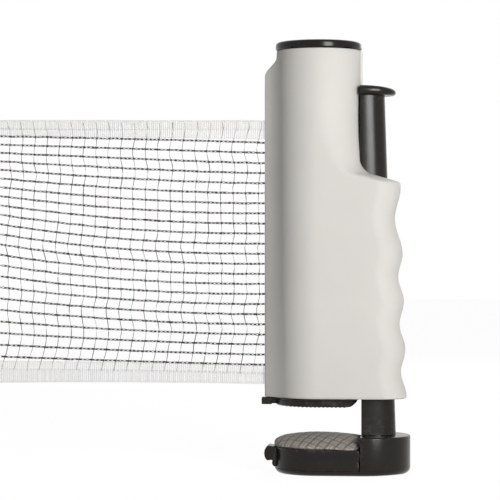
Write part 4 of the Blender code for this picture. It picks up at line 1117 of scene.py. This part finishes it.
class NETCLAMP_OT_lower_jaw(bpy.types.Operator):
    """Make the block and base plate that carry the tray"""
    bl_idname = "netclamp.lower_jaw"
    bl_label = "Lower jaw"

    def execute(self, context):
        left, right, half = JAW_LOW.x, JAW_HIGH.x, JAW_HIGH.y
        bottom, top = JAW_LOW.z, JAW_HIGH.z
        rings = []
        for inset, height in (
                [(BASE_ROUND - x, z) for x, z in arc((0, bottom + BASE_ROUND), BASE_ROUND, -90, 0, 8)]
                + [(BLOCK_EDGE - x, z) for x, z in arc((0, top - BLOCK_EDGE), BLOCK_EDGE, 0, 90, 5)]):
            size = half - inset
            rings.append(at(plan(left + inset, right - inset, size, size, size, 32), height))
        jaw = as_object(lofted(rings), "jaw_block")
        boolean(jaw, boxed((left - OVER, -half - OVER, BASE_TOP), (BLOCK_FACE, half + OVER, 0)))
        inner = half - JAW_WALL
        hollow = plan(BLOCK_FACE + JAW_WALL, right - JAW_WALL, inner, BLOCK_EDGE, inner - BASE_ROUND / 2)
        boolean(jaw, less(lofted([at(hollow, bottom - OVER), at(hollow, top - JAW_WALL)]),
                          boxed((0, -WEB_HALF, bottom - 2 * OVER), (right, WEB_HALF, 0))))
        for place in SCREW_PLACES:
            boolean(jaw, rod(SCREW_SINK_RADIUS, bottom - OVER, SCREW_SINK_TOP, 40, place))
        soften(jaw, 0.0003)
        mark_wear_and_highlight_edges(jaw)
        dress(jaw, "black_plastic", "clamp", "lower_jaw", crease=35)
        return {"FINISHED"}


def tray_plan(grow=0.0):
    """Half-round outline of the tray, square where it meets the block."""
    radius, corner, flat_steps = TRAY_HIGH.y + TRAY_GROWS + grow, 0.0006, 10
    half = arc((TRAY_MIDDLE, 0), radius, 180, 90, 32)
    start, right = half[-1][0], TRAY_HIGH.x + min(grow, 0.0)
    half += [(mix(start, right, i / flat_steps), radius) for i in range(1, flat_steps)]
    return both_sides(half + arc((right - corner, radius - corner), corner, 90, 0, 4))


class NETCLAMP_OT_tray(bpy.types.Operator):
    """Make the tray that holds the pad, with its slightly dished side and the nose at its tip"""
    bl_idname = "netclamp.tray"
    bl_label = "Pad tray"

    def execute(self, context):
        low, rim = TRAY_LOW.z - 0.0002, CARRIER_RIM
        steps, edge_share, dish, foot_edge, rim_edge = 14, 12, 0.00035, 0.0002, 0.0005
        rings = []
        for i in range(steps + 1):
            share = i / steps
            inset = dish * math.sin(math.pi * share) ** 2
            inset += foot_edge * max(0.0, 1 - edge_share * share)
            inset += rim_edge * max(0.0, 1 - edge_share * (1 - share))
            rings.append(at(tray_plan(-inset), mix(low, rim, share)))
        tray = as_object(lofted(rings), "pad_tray")
        inside = tray_plan(-CARRIER_WALL)
        boolean(tray, lofted([at(inside, low + CARRIER_WALL), at(inside, rim + OVER)]))
        boolean(tray, self.nose(low, rim), "UNION")
        mark_wear_and_highlight_edges(tray)
        dress(tray, "black_plastic", "clamp", "pad_carrier", crease=35)
        return {"FINISHED"}

    def nose(self, low, rim):
        """A rounded finger tab that hangs in front of the tray's tip."""
        root, reach, top, tallness = JAW_LOW.x + 0.0018, TRAY_LOW.x, TRAY_HIGH.z, 1.55
        bulge = (JAW_LOW.x - reach) / 2
        outline = [(root, low + 0.0006), (JAW_LOW.x - 0.0004, low + 0.0006),
                   (JAW_LOW.x - 0.0012, low + 0.0024), (JAW_LOW.x - 0.0008, low + 0.0042)]
        outline += [(reach + bulge + bulge * x, top - tallness * bulge + tallness * bulge * z)
                    for x, z in arc((0, 0), 1.0, 250, 80, 20)]
        outline.append((root, rim))
        bm = bmesh.new()
        face = bm.faces.new([bm.verts.new((x, -NOSE_HALF, z)) for x, z in outline])
        pushed = bmesh.ops.extrude_face_region(bm, geom=[face])["geom"]
        moved = [item for item in pushed if isinstance(item, bmesh.types.BMVert)]
        bmesh.ops.translate(bm, verts=moved, vec=(0, 2 * NOSE_HALF, 0))
        bmesh.ops.recalc_face_normals(bm, faces=bm.faces)
        sides = [edge for edge in bm.edges if len(edge.link_faces) == 2
                 and edge.calc_face_angle() > math.radians(60)]
        bevel(bm, sides, width=0.0011, segments=5)
        return bm


# ---------------------------------------------------------------- lower pad

def tread(x, y, pads):
    """(depth, share of groove) of the pad's tread: turned square tiles with fine ribs in each."""
    lean = pads.tread_angle
    across = (x * math.cos(lean) - y * math.sin(lean)) / pads.tile
    along = (x * math.sin(lean) + y * math.cos(lean)) / pads.tile
    from_line = min(across % 1, 1 - across % 1)
    from_cross = min(along % 1, 1 - along % 1)
    groove = max(0.0, 1 - from_line / GROOVE_SHARE, CROSS_DEPTH * (1 - from_cross / CROSS_SHARE))
    turned = (math.floor(across) + math.floor(along)) % 2
    rib = math.cos(2 * math.pi * TILE_RIBS * (across if turned else along))
    return pads.groove * groove + TILE_RIB_DEPTH * (1 - groove) * (1 - rib), groove


class NETCLAMP_OT_lower_pad(bpy.types.Operator):
    """Make the crowned rubber pad with its tiled tread, and its edge over the tray's rim"""
    bl_idname = "netclamp.lower_pad"
    bl_label = "Lower pad"

    def execute(self, context):
        pads = settings(context).pads
        radius = TRAY_HIGH.y + TRAY_GROWS - PAD_LEDGE
        left, right = TRAY_MIDDLE - radius - PAD_TIP, TRAY_HIGH.x
        narrow = radius / (radius + PAD_TIP)
        tip_width, tip_drop, tip_start, tip_run = 0.006, 0.0015, 0.004, 0.016
        rim_width, rim_drop, tread_margin = 0.0012, 0.0006, 0.0006
        grain, grain_scale = 0.00005, 1400

        def surface(u, v):
            x = mix(left, right, u)
            past = max(x - right + PAD_CORNER, 0.0)
            back = min(x - TRAY_MIDDLE, 0.0) * narrow
            half = math.sqrt(max(radius ** 2 - back ** 2, 0.0))
            half -= PAD_CORNER - math.sqrt(max(PAD_CORNER ** 2 - past ** 2, 0.0))
            y = half * (2 * v - 1)
            inside = min(radius - math.hypot(back, y), half - abs(y))
            crown = x * x / (2 * (PAD_BOW_LONG if x < 0 else PAD_BOW_BLOCK)) + y * y / (2 * PAD_BOW_WIDE)
            edge = max(0.0, 1 - inside / tip_width) ** 2 * tip_drop * unit((-x - tip_start) / tip_run)
            edge += max(0.0, 1 - inside / rim_width) ** 2 * rim_drop
            depth = tread(x, y, pads)[0] * min(1.0, inside / tread_margin)
            pebble = grain * drift(x * grain_scale, y * grain_scale, 0)
            return Vector((x, y, CROWN_TOP - crown - edge - depth + pebble))

        bm = formed_grid(190, 190, surface)
        # Painted shade mask: how far down in a groove or a rib's trough each corner lies.
        groove_shade_mask = bm.verts.layers.float.new("groove_shade_mask")
        for vert in bm.verts:
            depth, groove = tread(vert.co.x, vert.co.y, pads)
            vert[groove_shade_mask] = max(groove, 0.45 * min(depth / (2 * TILE_RIB_DEPTH), 1.0))
        self.turn_edge(bm, left)
        dress(as_object(bm, "tread_pad"), "pad_rubber", "clamp", "lower_pad", crease=60)
        return {"FINISHED"}

    def turn_edge(self, bm, left):
        """Turns the pad's edge down and back under itself, and drops its plug into the tray."""
        plug_low = TRAY_LOW.z + CARRIER_WALL + FIT
        ring = list({vert for edge in boundary(bm) for vert in edge.verts})
        start = [vert.co.copy() for vert in ring]
        under = []
        for place in start:
            opening, lifted = unit((place.x - left) / 0.014), unit((place.x - 0.004) / 0.017)
            under.append(min(CARRIER_RIM + 0.0005 * (1 + opening) + 0.0014 * lifted, place.z))
        steps = ((0.00012, 0.35), (0.00010, 0.75), (-0.00025, 1.0), (-0.0021, 1.0), (-0.0021, None))
        for out, share in steps:
            ring = next_ring(bm, ring)
            for vert, place, low in zip(ring, start, under):
                away = Vector((min(place.x - TRAY_MIDDLE, 0.0), place.y, 0.0)).normalized()
                vert.co = place + away * out
                vert.co.x = min(vert.co.x, TRAY_HIGH.x + min(out, 0.0))
                vert.co.z = plug_low if share is None else mix(place.z, low, share)
        bmesh.ops.contextual_create(bm, geom=loop_edges(ring))


# ---------------------------------------------------------------- net

def net_share(x):
    """0 at the net's far end, 1 where it enters the lip."""
    return unit((x - NET_LOW.x) / (-LIP_REACH_LOW - NET_LOW.x))


def tape_width(x, up):
    return mix(*(TOP_WIDTH if up > 0 else BOTTOM_WIDTH), net_share(x) ** 0.7)


def stitch_line(x, up):
    """Distance of the stitches from the tape's fold."""
    return mix(*(TOP_STITCH if up > 0 else BOTTOM_STITCH), net_share(x))


def fold_height(x, up):
    """Height of a tape's fold."""
    share = net_share(x)
    if up > 0:
        return TOP_TAPE_HIGH.z + TOP_RISE * (1 - share)
    return BOTTOM_TAPE_LOW.z + BOTTOM_BOW * share * (1 - share)


def row_height(down, x):
    """Height of a row, whose share of the way down runs from 0 to 1. The rows sag in the middle."""
    middle = math.sin(math.pi * down)
    slack = (1 - net_share(x)) ** (0.8 + 0.4 * down + 1.2 * middle)
    height = mix(mix(*NEAR_ROWS, down), mix(*FAR_ROWS, down - FAR_BOW * middle), slack)
    return height + ROW_WANDER * drift(x * 160, down * 40, 3)


def first_place(k):
    return FIRST_COLUMN - COLUMN_PITCH * k


def column_place(k, height):
    """Where a cross twine stands at a height: it sways from row to row, and leans at its foot."""
    lean = min(max(1 - (height - BOTTOM_TAPE_HIGH.z) / FOOT_HEIGHT, 0.0), 1.2)
    x = first_place(k)
    sway = TWINE_SWAY * drift(x * 4, height * 70, 3) * (1 - lean / 2)
    return x + sway + TWINE_STRAY * drift(k * 5.3, height * 190, 9) - FOOT_LEAN * lean


def row_phase(row):
    return ROW_SHIFT * drift(row * 3.7, 0, 0)


def within_net(x):
    return NET_LOW.x + END_MARGIN < x < NET_HIGH.x - END_MARGIN


def thread(path, radii, sides=4):
    """A thin thread through a list of places, from a small ring that is extruded along it."""
    rings = []
    for i, (place, radius) in enumerate(zip(path, radii)):
        ahead = (path[min(i + 1, len(path) - 1)] - path[max(i - 1, 0)]).normalized()
        turn = ahead.to_track_quat("Z", "Y")
        angles = (2 * math.pi * j / sides for j in range(sides))
        rings.append([place + turn @ Vector((radius * math.cos(angle), radius * math.sin(angle), 0))
                      for angle in angles])
    return lofted(rings)


class NETCLAMP_OT_net(bpy.types.Operator):
    """Make the net: two-ply twisted rows, thin cross twines, and a knot where they meet"""
    bl_idname = "netclamp.net"
    bl_label = "Net"

    def execute(self, context):
        net = settings(context).net
        downs = [row / (net.rows - 1) for row in range(net.rows)]
        rows = self.make_rows(net, downs)
        crossings = self.make_cross_twines(net)
        knots = self.make_knots(net, downs)
        for thing in (rows, crossings, knots):
            dress(thing, "net_twine", "net", crease=180)
        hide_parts("net_mesh")
        return {"FINISHED"}

    def make_rows(self, net, downs):
        left, right = NET_LOW.x, NET_HIGH.x
        turns, steps_per_turn, looseness = (right - left) / net.twist, 8, 0.35
        steps = round(turns * steps_per_turn)
        bm = bmesh.new()
        for side in (1, -1):
            ring = wire_ring(bm, net.ply / 2, 4, "Y", (left, 0, side * net.ply_orbit), capped=True)
            bmesh.ops.spin(bm, geom=ring, cent=(left, 0, 0), axis=(1, 0, 0),
                           dvec=((right - left) / steps, 0, 0), angle=2 * math.pi * turns, steps=steps)
        bmesh.ops.holes_fill(bm, edges=boundary(bm), sides=4)
        one = as_mesh(bm, "one_row")
        bm = bmesh.new()
        for row, down in enumerate(downs):
            phase = row_phase(row)

            def move(place):
                x = min(max(place.x + phase, left), right)
                loose = 1 + looseness * drift(x * 260, row * 2.1, 5)
                return Vector((x, place.y * loose, place.z * loose + row_height(down, x)))

            add_copy(bm, one, move)
        self.add_beads(bm, net, downs)
        return as_object(bm, "net_rows")

    def add_beads(self, bm, net, downs):
        """Where the two plies of a row pass over each other they lie thick and tight."""
        bead, lean_each, uneven = lump((0.00080, 0.00040, 0.00054)), 0.30, 0.35
        count = int((NET_HIGH.x - NET_LOW.x) / net.twist * 2)
        for row, down in enumerate(downs):
            for i in range(count):
                x = NET_LOW.x + row_phase(row) + net.twist * (0.25 + i / 2)
                x += BEAD_STRAY * drift(i * 3.1, row * 5.7, 2)
                if within_net(x):
                    lean = (-1) ** i * lean_each + uneven * drift(i * 0.7, row * 1.9, 4)
                    add_lump(bm, bead, Vector((x, 0, row_height(down, x))),
                             1 + uneven * drift(i * 1.7, row * 2.3, 8), lean)

    def make_cross_twines(self, net):
        """Each weaves past the rows, and runs from the lower stitch line up into the upper tape."""
        steps, past_stitch, in_tape, weave = 2 * net.rows, 0.0005, 0.0012, 0.0002
        mean_thick, uneven, thinnest, thickest = 0.85, 1.1, 0.5, 1.3
        bm = bmesh.new()
        for k in range(net.columns):
            x = first_place(k)
            if not NET_LOW.x < x - 2 * END_MARGIN < NET_HIGH.x:
                continue
            low, high = fold_height(x, -1) + stitch_line(x, -1) - past_stitch, fold_height(x, 1) - in_tape
            path, radii = [], []
            for i in range(steps + 1):
                height = mix(low, high, i / steps)
                path.append(Vector((column_place(k, height), weave * math.sin(i * math.pi / 2), height)))
                thick = mean_thick + uneven * drift(k * 9.1, height * 130, 6)
                radii.append(net.cross_twine / 2 * min(max(thick, thinnest), thickest))
            bm.from_mesh(as_mesh(thread(path, radii), "one_twine"))
        return as_object(bm, "net_cross_twines")

    def make_knots(self, net, downs):
        """A knot at each meeting of a row and a cross twine, each of its own size and lean."""
        knot, uneven, most_lean = lump((0.00055, 0.00048, 0.00064)), 0.25, 0.9
        bm = bmesh.new()
        for k in range(net.columns):
            for row, down in enumerate(downs):
                x = column_place(k, row_height(down, first_place(k)))
                if within_net(x):
                    add_lump(bm, knot, Vector((x, 0, row_height(down, x))),
                             1 + uneven * drift(k * 7.1, row * 3.3, 1), most_lean * drift(k, row, 7.7))
        return as_object(bm, "net_knots")


class NETCLAMP_OT_tapes(bpy.types.Operator):
    """Make the two white tapes, each doubled over the net's edge, and the stitches that hold them on the net
    """
    bl_idname = "netclamp.tapes"
    bl_label = "Edge tapes"

    def execute(self, context):
        pitch = settings(context).net.rib_pitch
        for name, node, up in (("upper_tape", "top_tape", 1), ("lower_tape", "bottom_tape", -1)):
            tape = self.make_tape(name, up, pitch)
            stitches = self.make_stitches(name + "_stitches", up)
            dress(tape, "white_tape", "net", node, crease=180)
            dress(stitches, "white_tape", "net", crease=180)
        return {"FINISHED"}

    def section(self, corner, depth, stitch, pinch):
        """(y, distance from the fold) at one of the corners round the tape's closed section."""
        half, pinch_width, steps = TAPE_HALF - TAPE_SPARE, 0.0007, TAPE_STEPS
        loop = []
        for wall, direction in ((half, 1), (half - CLOTH, -1)):
            side = [(-wall, mix(depth, half, i / steps)) for i in range(steps)]
            side += arc((0, half), wall, 180, 360, steps - 1)
            side += [(wall, mix(half, depth, (i + 1) / steps)) for i in range(steps)]
            loop += side if direction > 0 else reversed(side)
        y, down = loop[corner % len(loop)]
        return y * (1 - pinch * math.exp(-((down - stitch) / pinch_width) ** 2)), down

    def make_tape(self, name, up, pitch):
        """Ribs, a pinch at each stitch and slow waves, and a mark that darkens the doubled cloth of the hem
        and its border, and paints shade along the pinched stitch seam.
        """
        left, right, corners = NET_LOW.x, NET_HIGH.x, 6 * TAPE_STEPS
        columns = round((right - left) / pitch * 4)
        rib_height, wave_height, ease_height, mean_pinch, more_pinch = 0.00006, 0.00012, 0.00010, 0.26, 0.08
        border_width, hem_edge, seam_width = 0.0009, 0.0004, 0.00035

        def place(u, v):
            x = mix(left, right, u)
            rib = rib_height * math.cos(2 * math.pi * x / pitch)
            pinch = mean_pinch + more_pinch * math.cos(2 * math.pi * x / STITCH_PITCH)
            y, down = self.section(round(v * corners), tape_width(x, up), stitch_line(x, up), pinch)
            wave = wave_height * drift(x * 45, down * 60, 2)
            ease = ease_height * drift(x * 30, 0, 4 + up)
            return Vector((x, y + math.copysign(rib, y) + wave, fold_height(x, up) - up * (down + ease)))

        bm = formed_grid(columns, corners, place)
        bmesh.ops.holes_fill(bm, edges=boundary(bm), sides=0)
        doubled_and_seam_shade = bm.verts.layers.float.new("doubled_and_seam_shade")
        for vert in bm.verts:
            x, line = vert.co.x, stitch_line(vert.co.x, up)
            down = abs(fold_height(x, up) - vert.co.z)
            border = max(0.0, 1 - down / border_width)
            hem = unit((line - down) / hem_edge) * max(0.5 + drift(x * 700, 0, 6), 0.0)
            # Painted shade along the stitch seam, where the stitches pinch the cloth, in dashes at the stitch
            # pitch.
            seam = math.exp(-((down - line) / seam_width) ** 2)
            stitch = 0.6 + 0.4 * math.cos(2 * math.pi * x / STITCH_PITCH)
            vert[doubled_and_seam_shade] = min(1.0, 0.36 * hem + 0.5 * border + seam * stitch)
        return as_object(bm, name)

    def make_stitches(self, name, up):
        stitch, out = lump((0.00062, 0.00014, 0.00016)), 0.8 * TAPE_HALF
        bm = bmesh.new()
        for i in range(1, int((NET_HIGH.x - NET_LOW.x) / STITCH_PITCH)):
            x = NET_LOW.x + STITCH_PITCH * i
            for y in (-out, out):
                add_lump(bm, stitch, Vector((x, y, fold_height(x, up) - up * stitch_line(x, up))))
        return as_object(bm, name)


class NETCLAMP_OT_end_bar(bpy.types.Operator):
    """Make the stiff bar at the net's far end, with its rounded ends and clip grooves"""
    bl_idname = "netclamp.end_bar"
    bl_label = "End bar"

    def execute(self, context):
        left, right, half = BAR_LOW.x, BAR_HIGH.x, BAR_HIGH.y
        low, high = BAR_LOW.z, BAR_HIGH.z
        edge, groove, groove_half, groove_slope = 0.0012, 0.0004, 0.0018, 0.0004
        levels = [(edge - x, z) for x, z in arc((0, low + edge), edge, -90, 0, 6)]
        for share in (0.12, 0.5, 0.88):
            middle = mix(low, high, share)
            levels += [(inset, middle + up) for inset, up in (
                (0.0, -groove_half - groove_slope), (groove, -groove_half), (groove, groove_half),
                (0.0, groove_half + groove_slope))]
        levels += [(edge - x, z) for x, z in arc((0, high - edge), edge, 0, 90, 6)]
        bar = as_object(lofted([
            at(plan(left + inset, right - inset, half - inset, half - inset, half - inset, 8), height)
            for inset, height in levels]), "far_bar")
        mark_wear_and_highlight_edges(bar)
        dress(bar, "black_plastic", "net", "net_end_bar", crease=35)
        return {"FINISHED"}


# ---------------------------------------------------------------- roller, springs and screws

class NETCLAMP_OT_inside(bpy.types.Operator):
    """Make the wound net and the clamp spring, and finish the inner parts"""
    bl_idname = "netclamp.inside"
    bl_label = "Roller, springs and screws"

    def execute(self, context):
        self.make_roll(settings(context).net)
        self.make_clamp_spring()
        self.make_screws()
        for node, finish in (("roller_axle", "spring_steel"), ("roller_drum", "inner_plastic"),
                             ("drum_plug_top", "inner_plastic"), ("drum_plug_bottom", "inner_plastic"),
                             ("rewind_spring", "spring_steel"), ("spring_arbor", "spring_steel"),
                             ("spring_seat", "spring_steel"), ("column_guide", "black_plastic"),
                             ("plate_screw_front", "spring_steel"), ("plate_screw_rear", "spring_steel")):
            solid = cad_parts[node]
            solid.data.materials.clear()
            solid.data.materials.append(FINISHES[finish]())
        return {"FINISHED"}

    def make_roll(self, net):
        """The wound net shows its rows as ridges, between two smooth bands of wound tape."""
        inner, outer, spare = 0.0083, ROLL_HIGH.x, 0.0001
        low, high = ROLL_LOW.z, ROLL_HIGH.z
        band, layer = TOP_WIDTH[1], 0.00025
        for name, finish, bottom, top, ridge in (
                ("wound_net", "net_twine", low + band, high - band, 0.0005),
                ("wound_tape_top", "white_tape", high - band, high, 0.0),
                ("wound_tape_bottom", "white_tape", low, low + band, 0.0)):
            steps = 4 * net.rows if ridge else 8
            profile = [(inner, top), (inner, bottom)]
            for i in range(steps + 1):
                wave = ridge * (1 - math.cos(math.pi / 2 * i)) / 2
                profile.append((outer - spare - wave, mix(bottom, top, i / steps)))
            bm = spun(profile, steps=64)
            for vert in bm.verts:
                around = math.atan2(vert.co.y, vert.co.x) / (2 * math.pi)
                reach = math.hypot(vert.co.x, vert.co.y)
                if reach > (inner + outer) / 2:
                    vert.co.xy *= 1 - layer * (around + 0.5) / reach
            roll = as_object(bm, name)
            dress(roll, finish, "roller", crease=60)
            if ridge:
                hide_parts("net_roll")

    def make_clamp_spring(self):
        """A closed turn at each end, and open turns between them, all one wire."""
        wire, dead, turns, facets, travel = 0.0010, 0.0016, 16, 24, 0.032
        middle_x = (SPRING_LOW.x + SPRING_HIGH.x) / 2
        radius = (SPRING_HIGH.x - SPRING_LOW.x - wire) / 2
        low, high = SPRING_LOW.z + wire / 2, SPRING_HIGH.z - wire / 2
        rise = (high - low - 2 * dead) / (turns - 2)
        bm = bmesh.new()
        geometry = wire_ring(bm, wire / 2, 10, "X", (middle_x + radius, 0, low))
        for count, pitch in ((1, dead), (turns - 2, rise), (1, dead)):
            geometry = bmesh.ops.spin(
                bm, geom=geometry, cent=(middle_x, 0, 0), axis=(0, 0, 1), dvec=(0, 0, pitch / facets),
                angle=2 * math.pi * count, steps=count * facets)["geom_last"]
        bmesh.ops.holes_fill(bm, edges=boundary(bm), sides=10)
        spring = as_object(bm, "return_spring")
        dress(spring, "spring_steel", "housing", "clamp_spring", crease=60)
        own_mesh(spring)

    def make_screws(self):
        """Pan heads with a cross recess, up in the lower jaw's sinks."""
        edge, shank, height, arm_half, arm, recess = 0.0009, 0.0016, 0.0022, 0.0004, 0.0016, 0.0011
        for node in ("jaw_screw_front", "jaw_screw_rear"):
            low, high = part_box(node)
            x, y = (low.x + high.x) / 2, (low.y + high.y) / 2
            head = (high.x - low.x) / 2
            profile = [(0, low.z)] + arc((head - edge, low.z + edge), edge, -90, 0, 6)
            profile += [(head, low.z + height), (shank, low.z + height), (shank, high.z), (0, high.z)]
            screw = as_object(spun(profile, 48, (x, y)), node + "_head")
            for across, along in ((arm_half, arm), (arm, arm_half)):
                boolean(screw, boxed((x - across, y - along, low.z - 0.001),
                                     (x + across, y + along, low.z + recess)))
            dress(screw, "spring_steel", "clamp", node, crease=35)


# ---------------------------------------------------------------- studio

def seen_share(tree, *rays):
    """1 for rays of these kinds, which show a surface itself, and 0 for those that only light others."""
    seen = put(tree, "LightPath").outputs
    share = seen[rays[0]]
    for ray in rays[1:]:
        share = calc(tree, "MAXIMUM", share, seen[ray])
    return share


class NETCLAMP_OT_studio(bpy.types.Operator):
    """Make the pale floor, the soft lamps, the white surroundings and the camera"""
    bl_idname = "netclamp.studio"
    bl_label = "Studio"

    def execute(self, context):
        studio = settings(context).studio
        context.scene.view_settings.view_transform = "Standard"
        self.make_floor()
        self.make_world(context, studio.ambient)
        aim = Vector((-0.03, 0, 0.08))
        self.add_lamp("key", Vector((0.57, -1.10, 0.32)), aim, 0.45, studio.key)
        self.add_lamp("back", Vector((0.3, 0.9, 0.6)), aim, 0.7, studio.back)
        self.add_camera(context, studio)
        return {"FINISHED"}

    def make_floor(self):
        """The floor goes with the lower jaw, which stands on it."""
        glow_strength, glow_share = 1.08, 0.88
        bm = bmesh.new()
        bmesh.ops.create_grid(bm, x_segments=1, y_segments=1, size=4.0)
        bmesh.ops.translate(bm, verts=bm.verts, vec=(0, 0, JAW_LOW.z - 0.0001))
        floor = as_object(bm, "floor")
        material = bpy.data.materials.new("pale_floor")
        material.use_nodes = True
        tree = material.node_tree
        shader = tree.nodes["Principled BSDF"]
        fill(tree, shader, {"Base Color": (0.9, 0.9, 0.9, 1), "Roughness": 0.9})
        glow = put(tree, "Emission", {"Strength": glow_strength}).outputs[0]
        share = calc(tree, "MULTIPLY", seen_share(tree, "Is Camera Ray", "Is Glossy Ray"), glow_share)
        mixed = put(tree, "MixShader", {0: share, 1: shader.outputs[0], 2: glow}).outputs[0]
        fill(tree, tree.nodes["Material Output"], {"Surface": mixed})
        floor.data.materials.append(material)
        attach(floor, "clamp")

    def make_world(self, context, ambient):
        """White where it is seen, and a weaker room light elsewhere."""
        world = bpy.data.worlds.new("white_room")
        context.scene.world = world
        world.use_nodes = True
        tree = world.node_tree
        room = fill(tree, tree.nodes["Background"], {"Color": (1, 1, 1, 1), "Strength": ambient})
        white = put(tree, "Background", {"Color": (1, 1, 1, 1), "Strength": 1.0})
        share = seen_share(tree, "Is Camera Ray", "Is Glossy Ray", "Is Transmission Ray")
        mixed = put(tree, "MixShader", {0: share, 1: room.outputs[0], 2: white.outputs[0]}).outputs[0]
        fill(tree, tree.nodes["World Output"], {"Surface": mixed})

    def add_lamp(self, name, place, aim, size, power):
        lamp = bpy.data.lights.new(name, "AREA")
        lamp.shape = "SQUARE"
        lamp.size = size
        lamp.energy = power
        thing = bpy.data.objects.new(name, lamp)
        bpy.context.scene.collection.objects.link(thing)
        thing.location = place
        thing.rotation_euler = (aim - place).to_track_quat("-Z", "Y").to_euler()

    def add_camera(self, context, studio):
        """Level with the middle of the picture, turned a little to the net's side."""
        seen_x, height = -0.0369, 0.0827
        camera = bpy.data.objects.new("camera", bpy.data.cameras.new("camera"))
        context.scene.collection.objects.link(camera)
        camera.data.sensor_width = 36.0
        camera.data.lens = studio.lens
        camera.data.clip_start = 0.05
        camera.location = (seen_x + math.tan(studio.yaw) * studio.distance, -studio.distance, height)
        camera.rotation_euler = (math.pi / 2, 0, studio.yaw)
        context.scene.camera = camera


# ---------------------------------------------------------------- panel and registration

class NetClampSettings(bpy.types.PropertyGroup):
    """All settings of the clamp post."""

    finishes: PointerProperty(type=FinishSettings)
    net: PointerProperty(type=NetSettings)
    pads: PointerProperty(type=PadSettings)
    studio: PointerProperty(type=StudioSettings)


OPERATORS = (
    NETCLAMP_OT_studio, NETCLAMP_OT_housing, NETCLAMP_OT_top_cap, NETCLAMP_OT_column,
    NETCLAMP_OT_upper_jaw, NETCLAMP_OT_lower_jaw, NETCLAMP_OT_tray, NETCLAMP_OT_lower_pad,
    NETCLAMP_OT_net, NETCLAMP_OT_tapes, NETCLAMP_OT_end_bar, NETCLAMP_OT_inside)


class NETCLAMP_PT_panel(bpy.types.Panel):
    """Settings and makers of the clamp post"""
    bl_idname = "NETCLAMP_PT_panel"
    bl_label = "Net Clamp"
    bl_space_type = "VIEW_3D"
    bl_region_type = "UI"
    bl_category = "Net Clamp"

    def draw(self, context):
        own = settings(context)
        for group in (own.finishes, own.net, own.pads, own.studio):
            box = self.layout.box()
            for name in group.__annotations__:
                box.prop(group, name)
        for operator in OPERATORS:
            self.layout.operator(operator.bl_idname)


CLASSES = (FinishSettings, NetSettings, PadSettings, StudioSettings, NetClampSettings,
           *OPERATORS, NETCLAMP_PT_panel)


def register():
    for item in CLASSES:
        bpy.utils.register_class(item)
    bpy.types.Scene.net_clamp = PointerProperty(type=NetClampSettings)


def unregister():
    del bpy.types.Scene.net_clamp
    for item in reversed(CLASSES):
        bpy.utils.unregister_class(item)


def main():
    register()
    for operator in OPERATORS:
        getattr(bpy.ops.netclamp, operator.bl_idname.split(".")[1])()


if __name__ == "__main__":
    main()
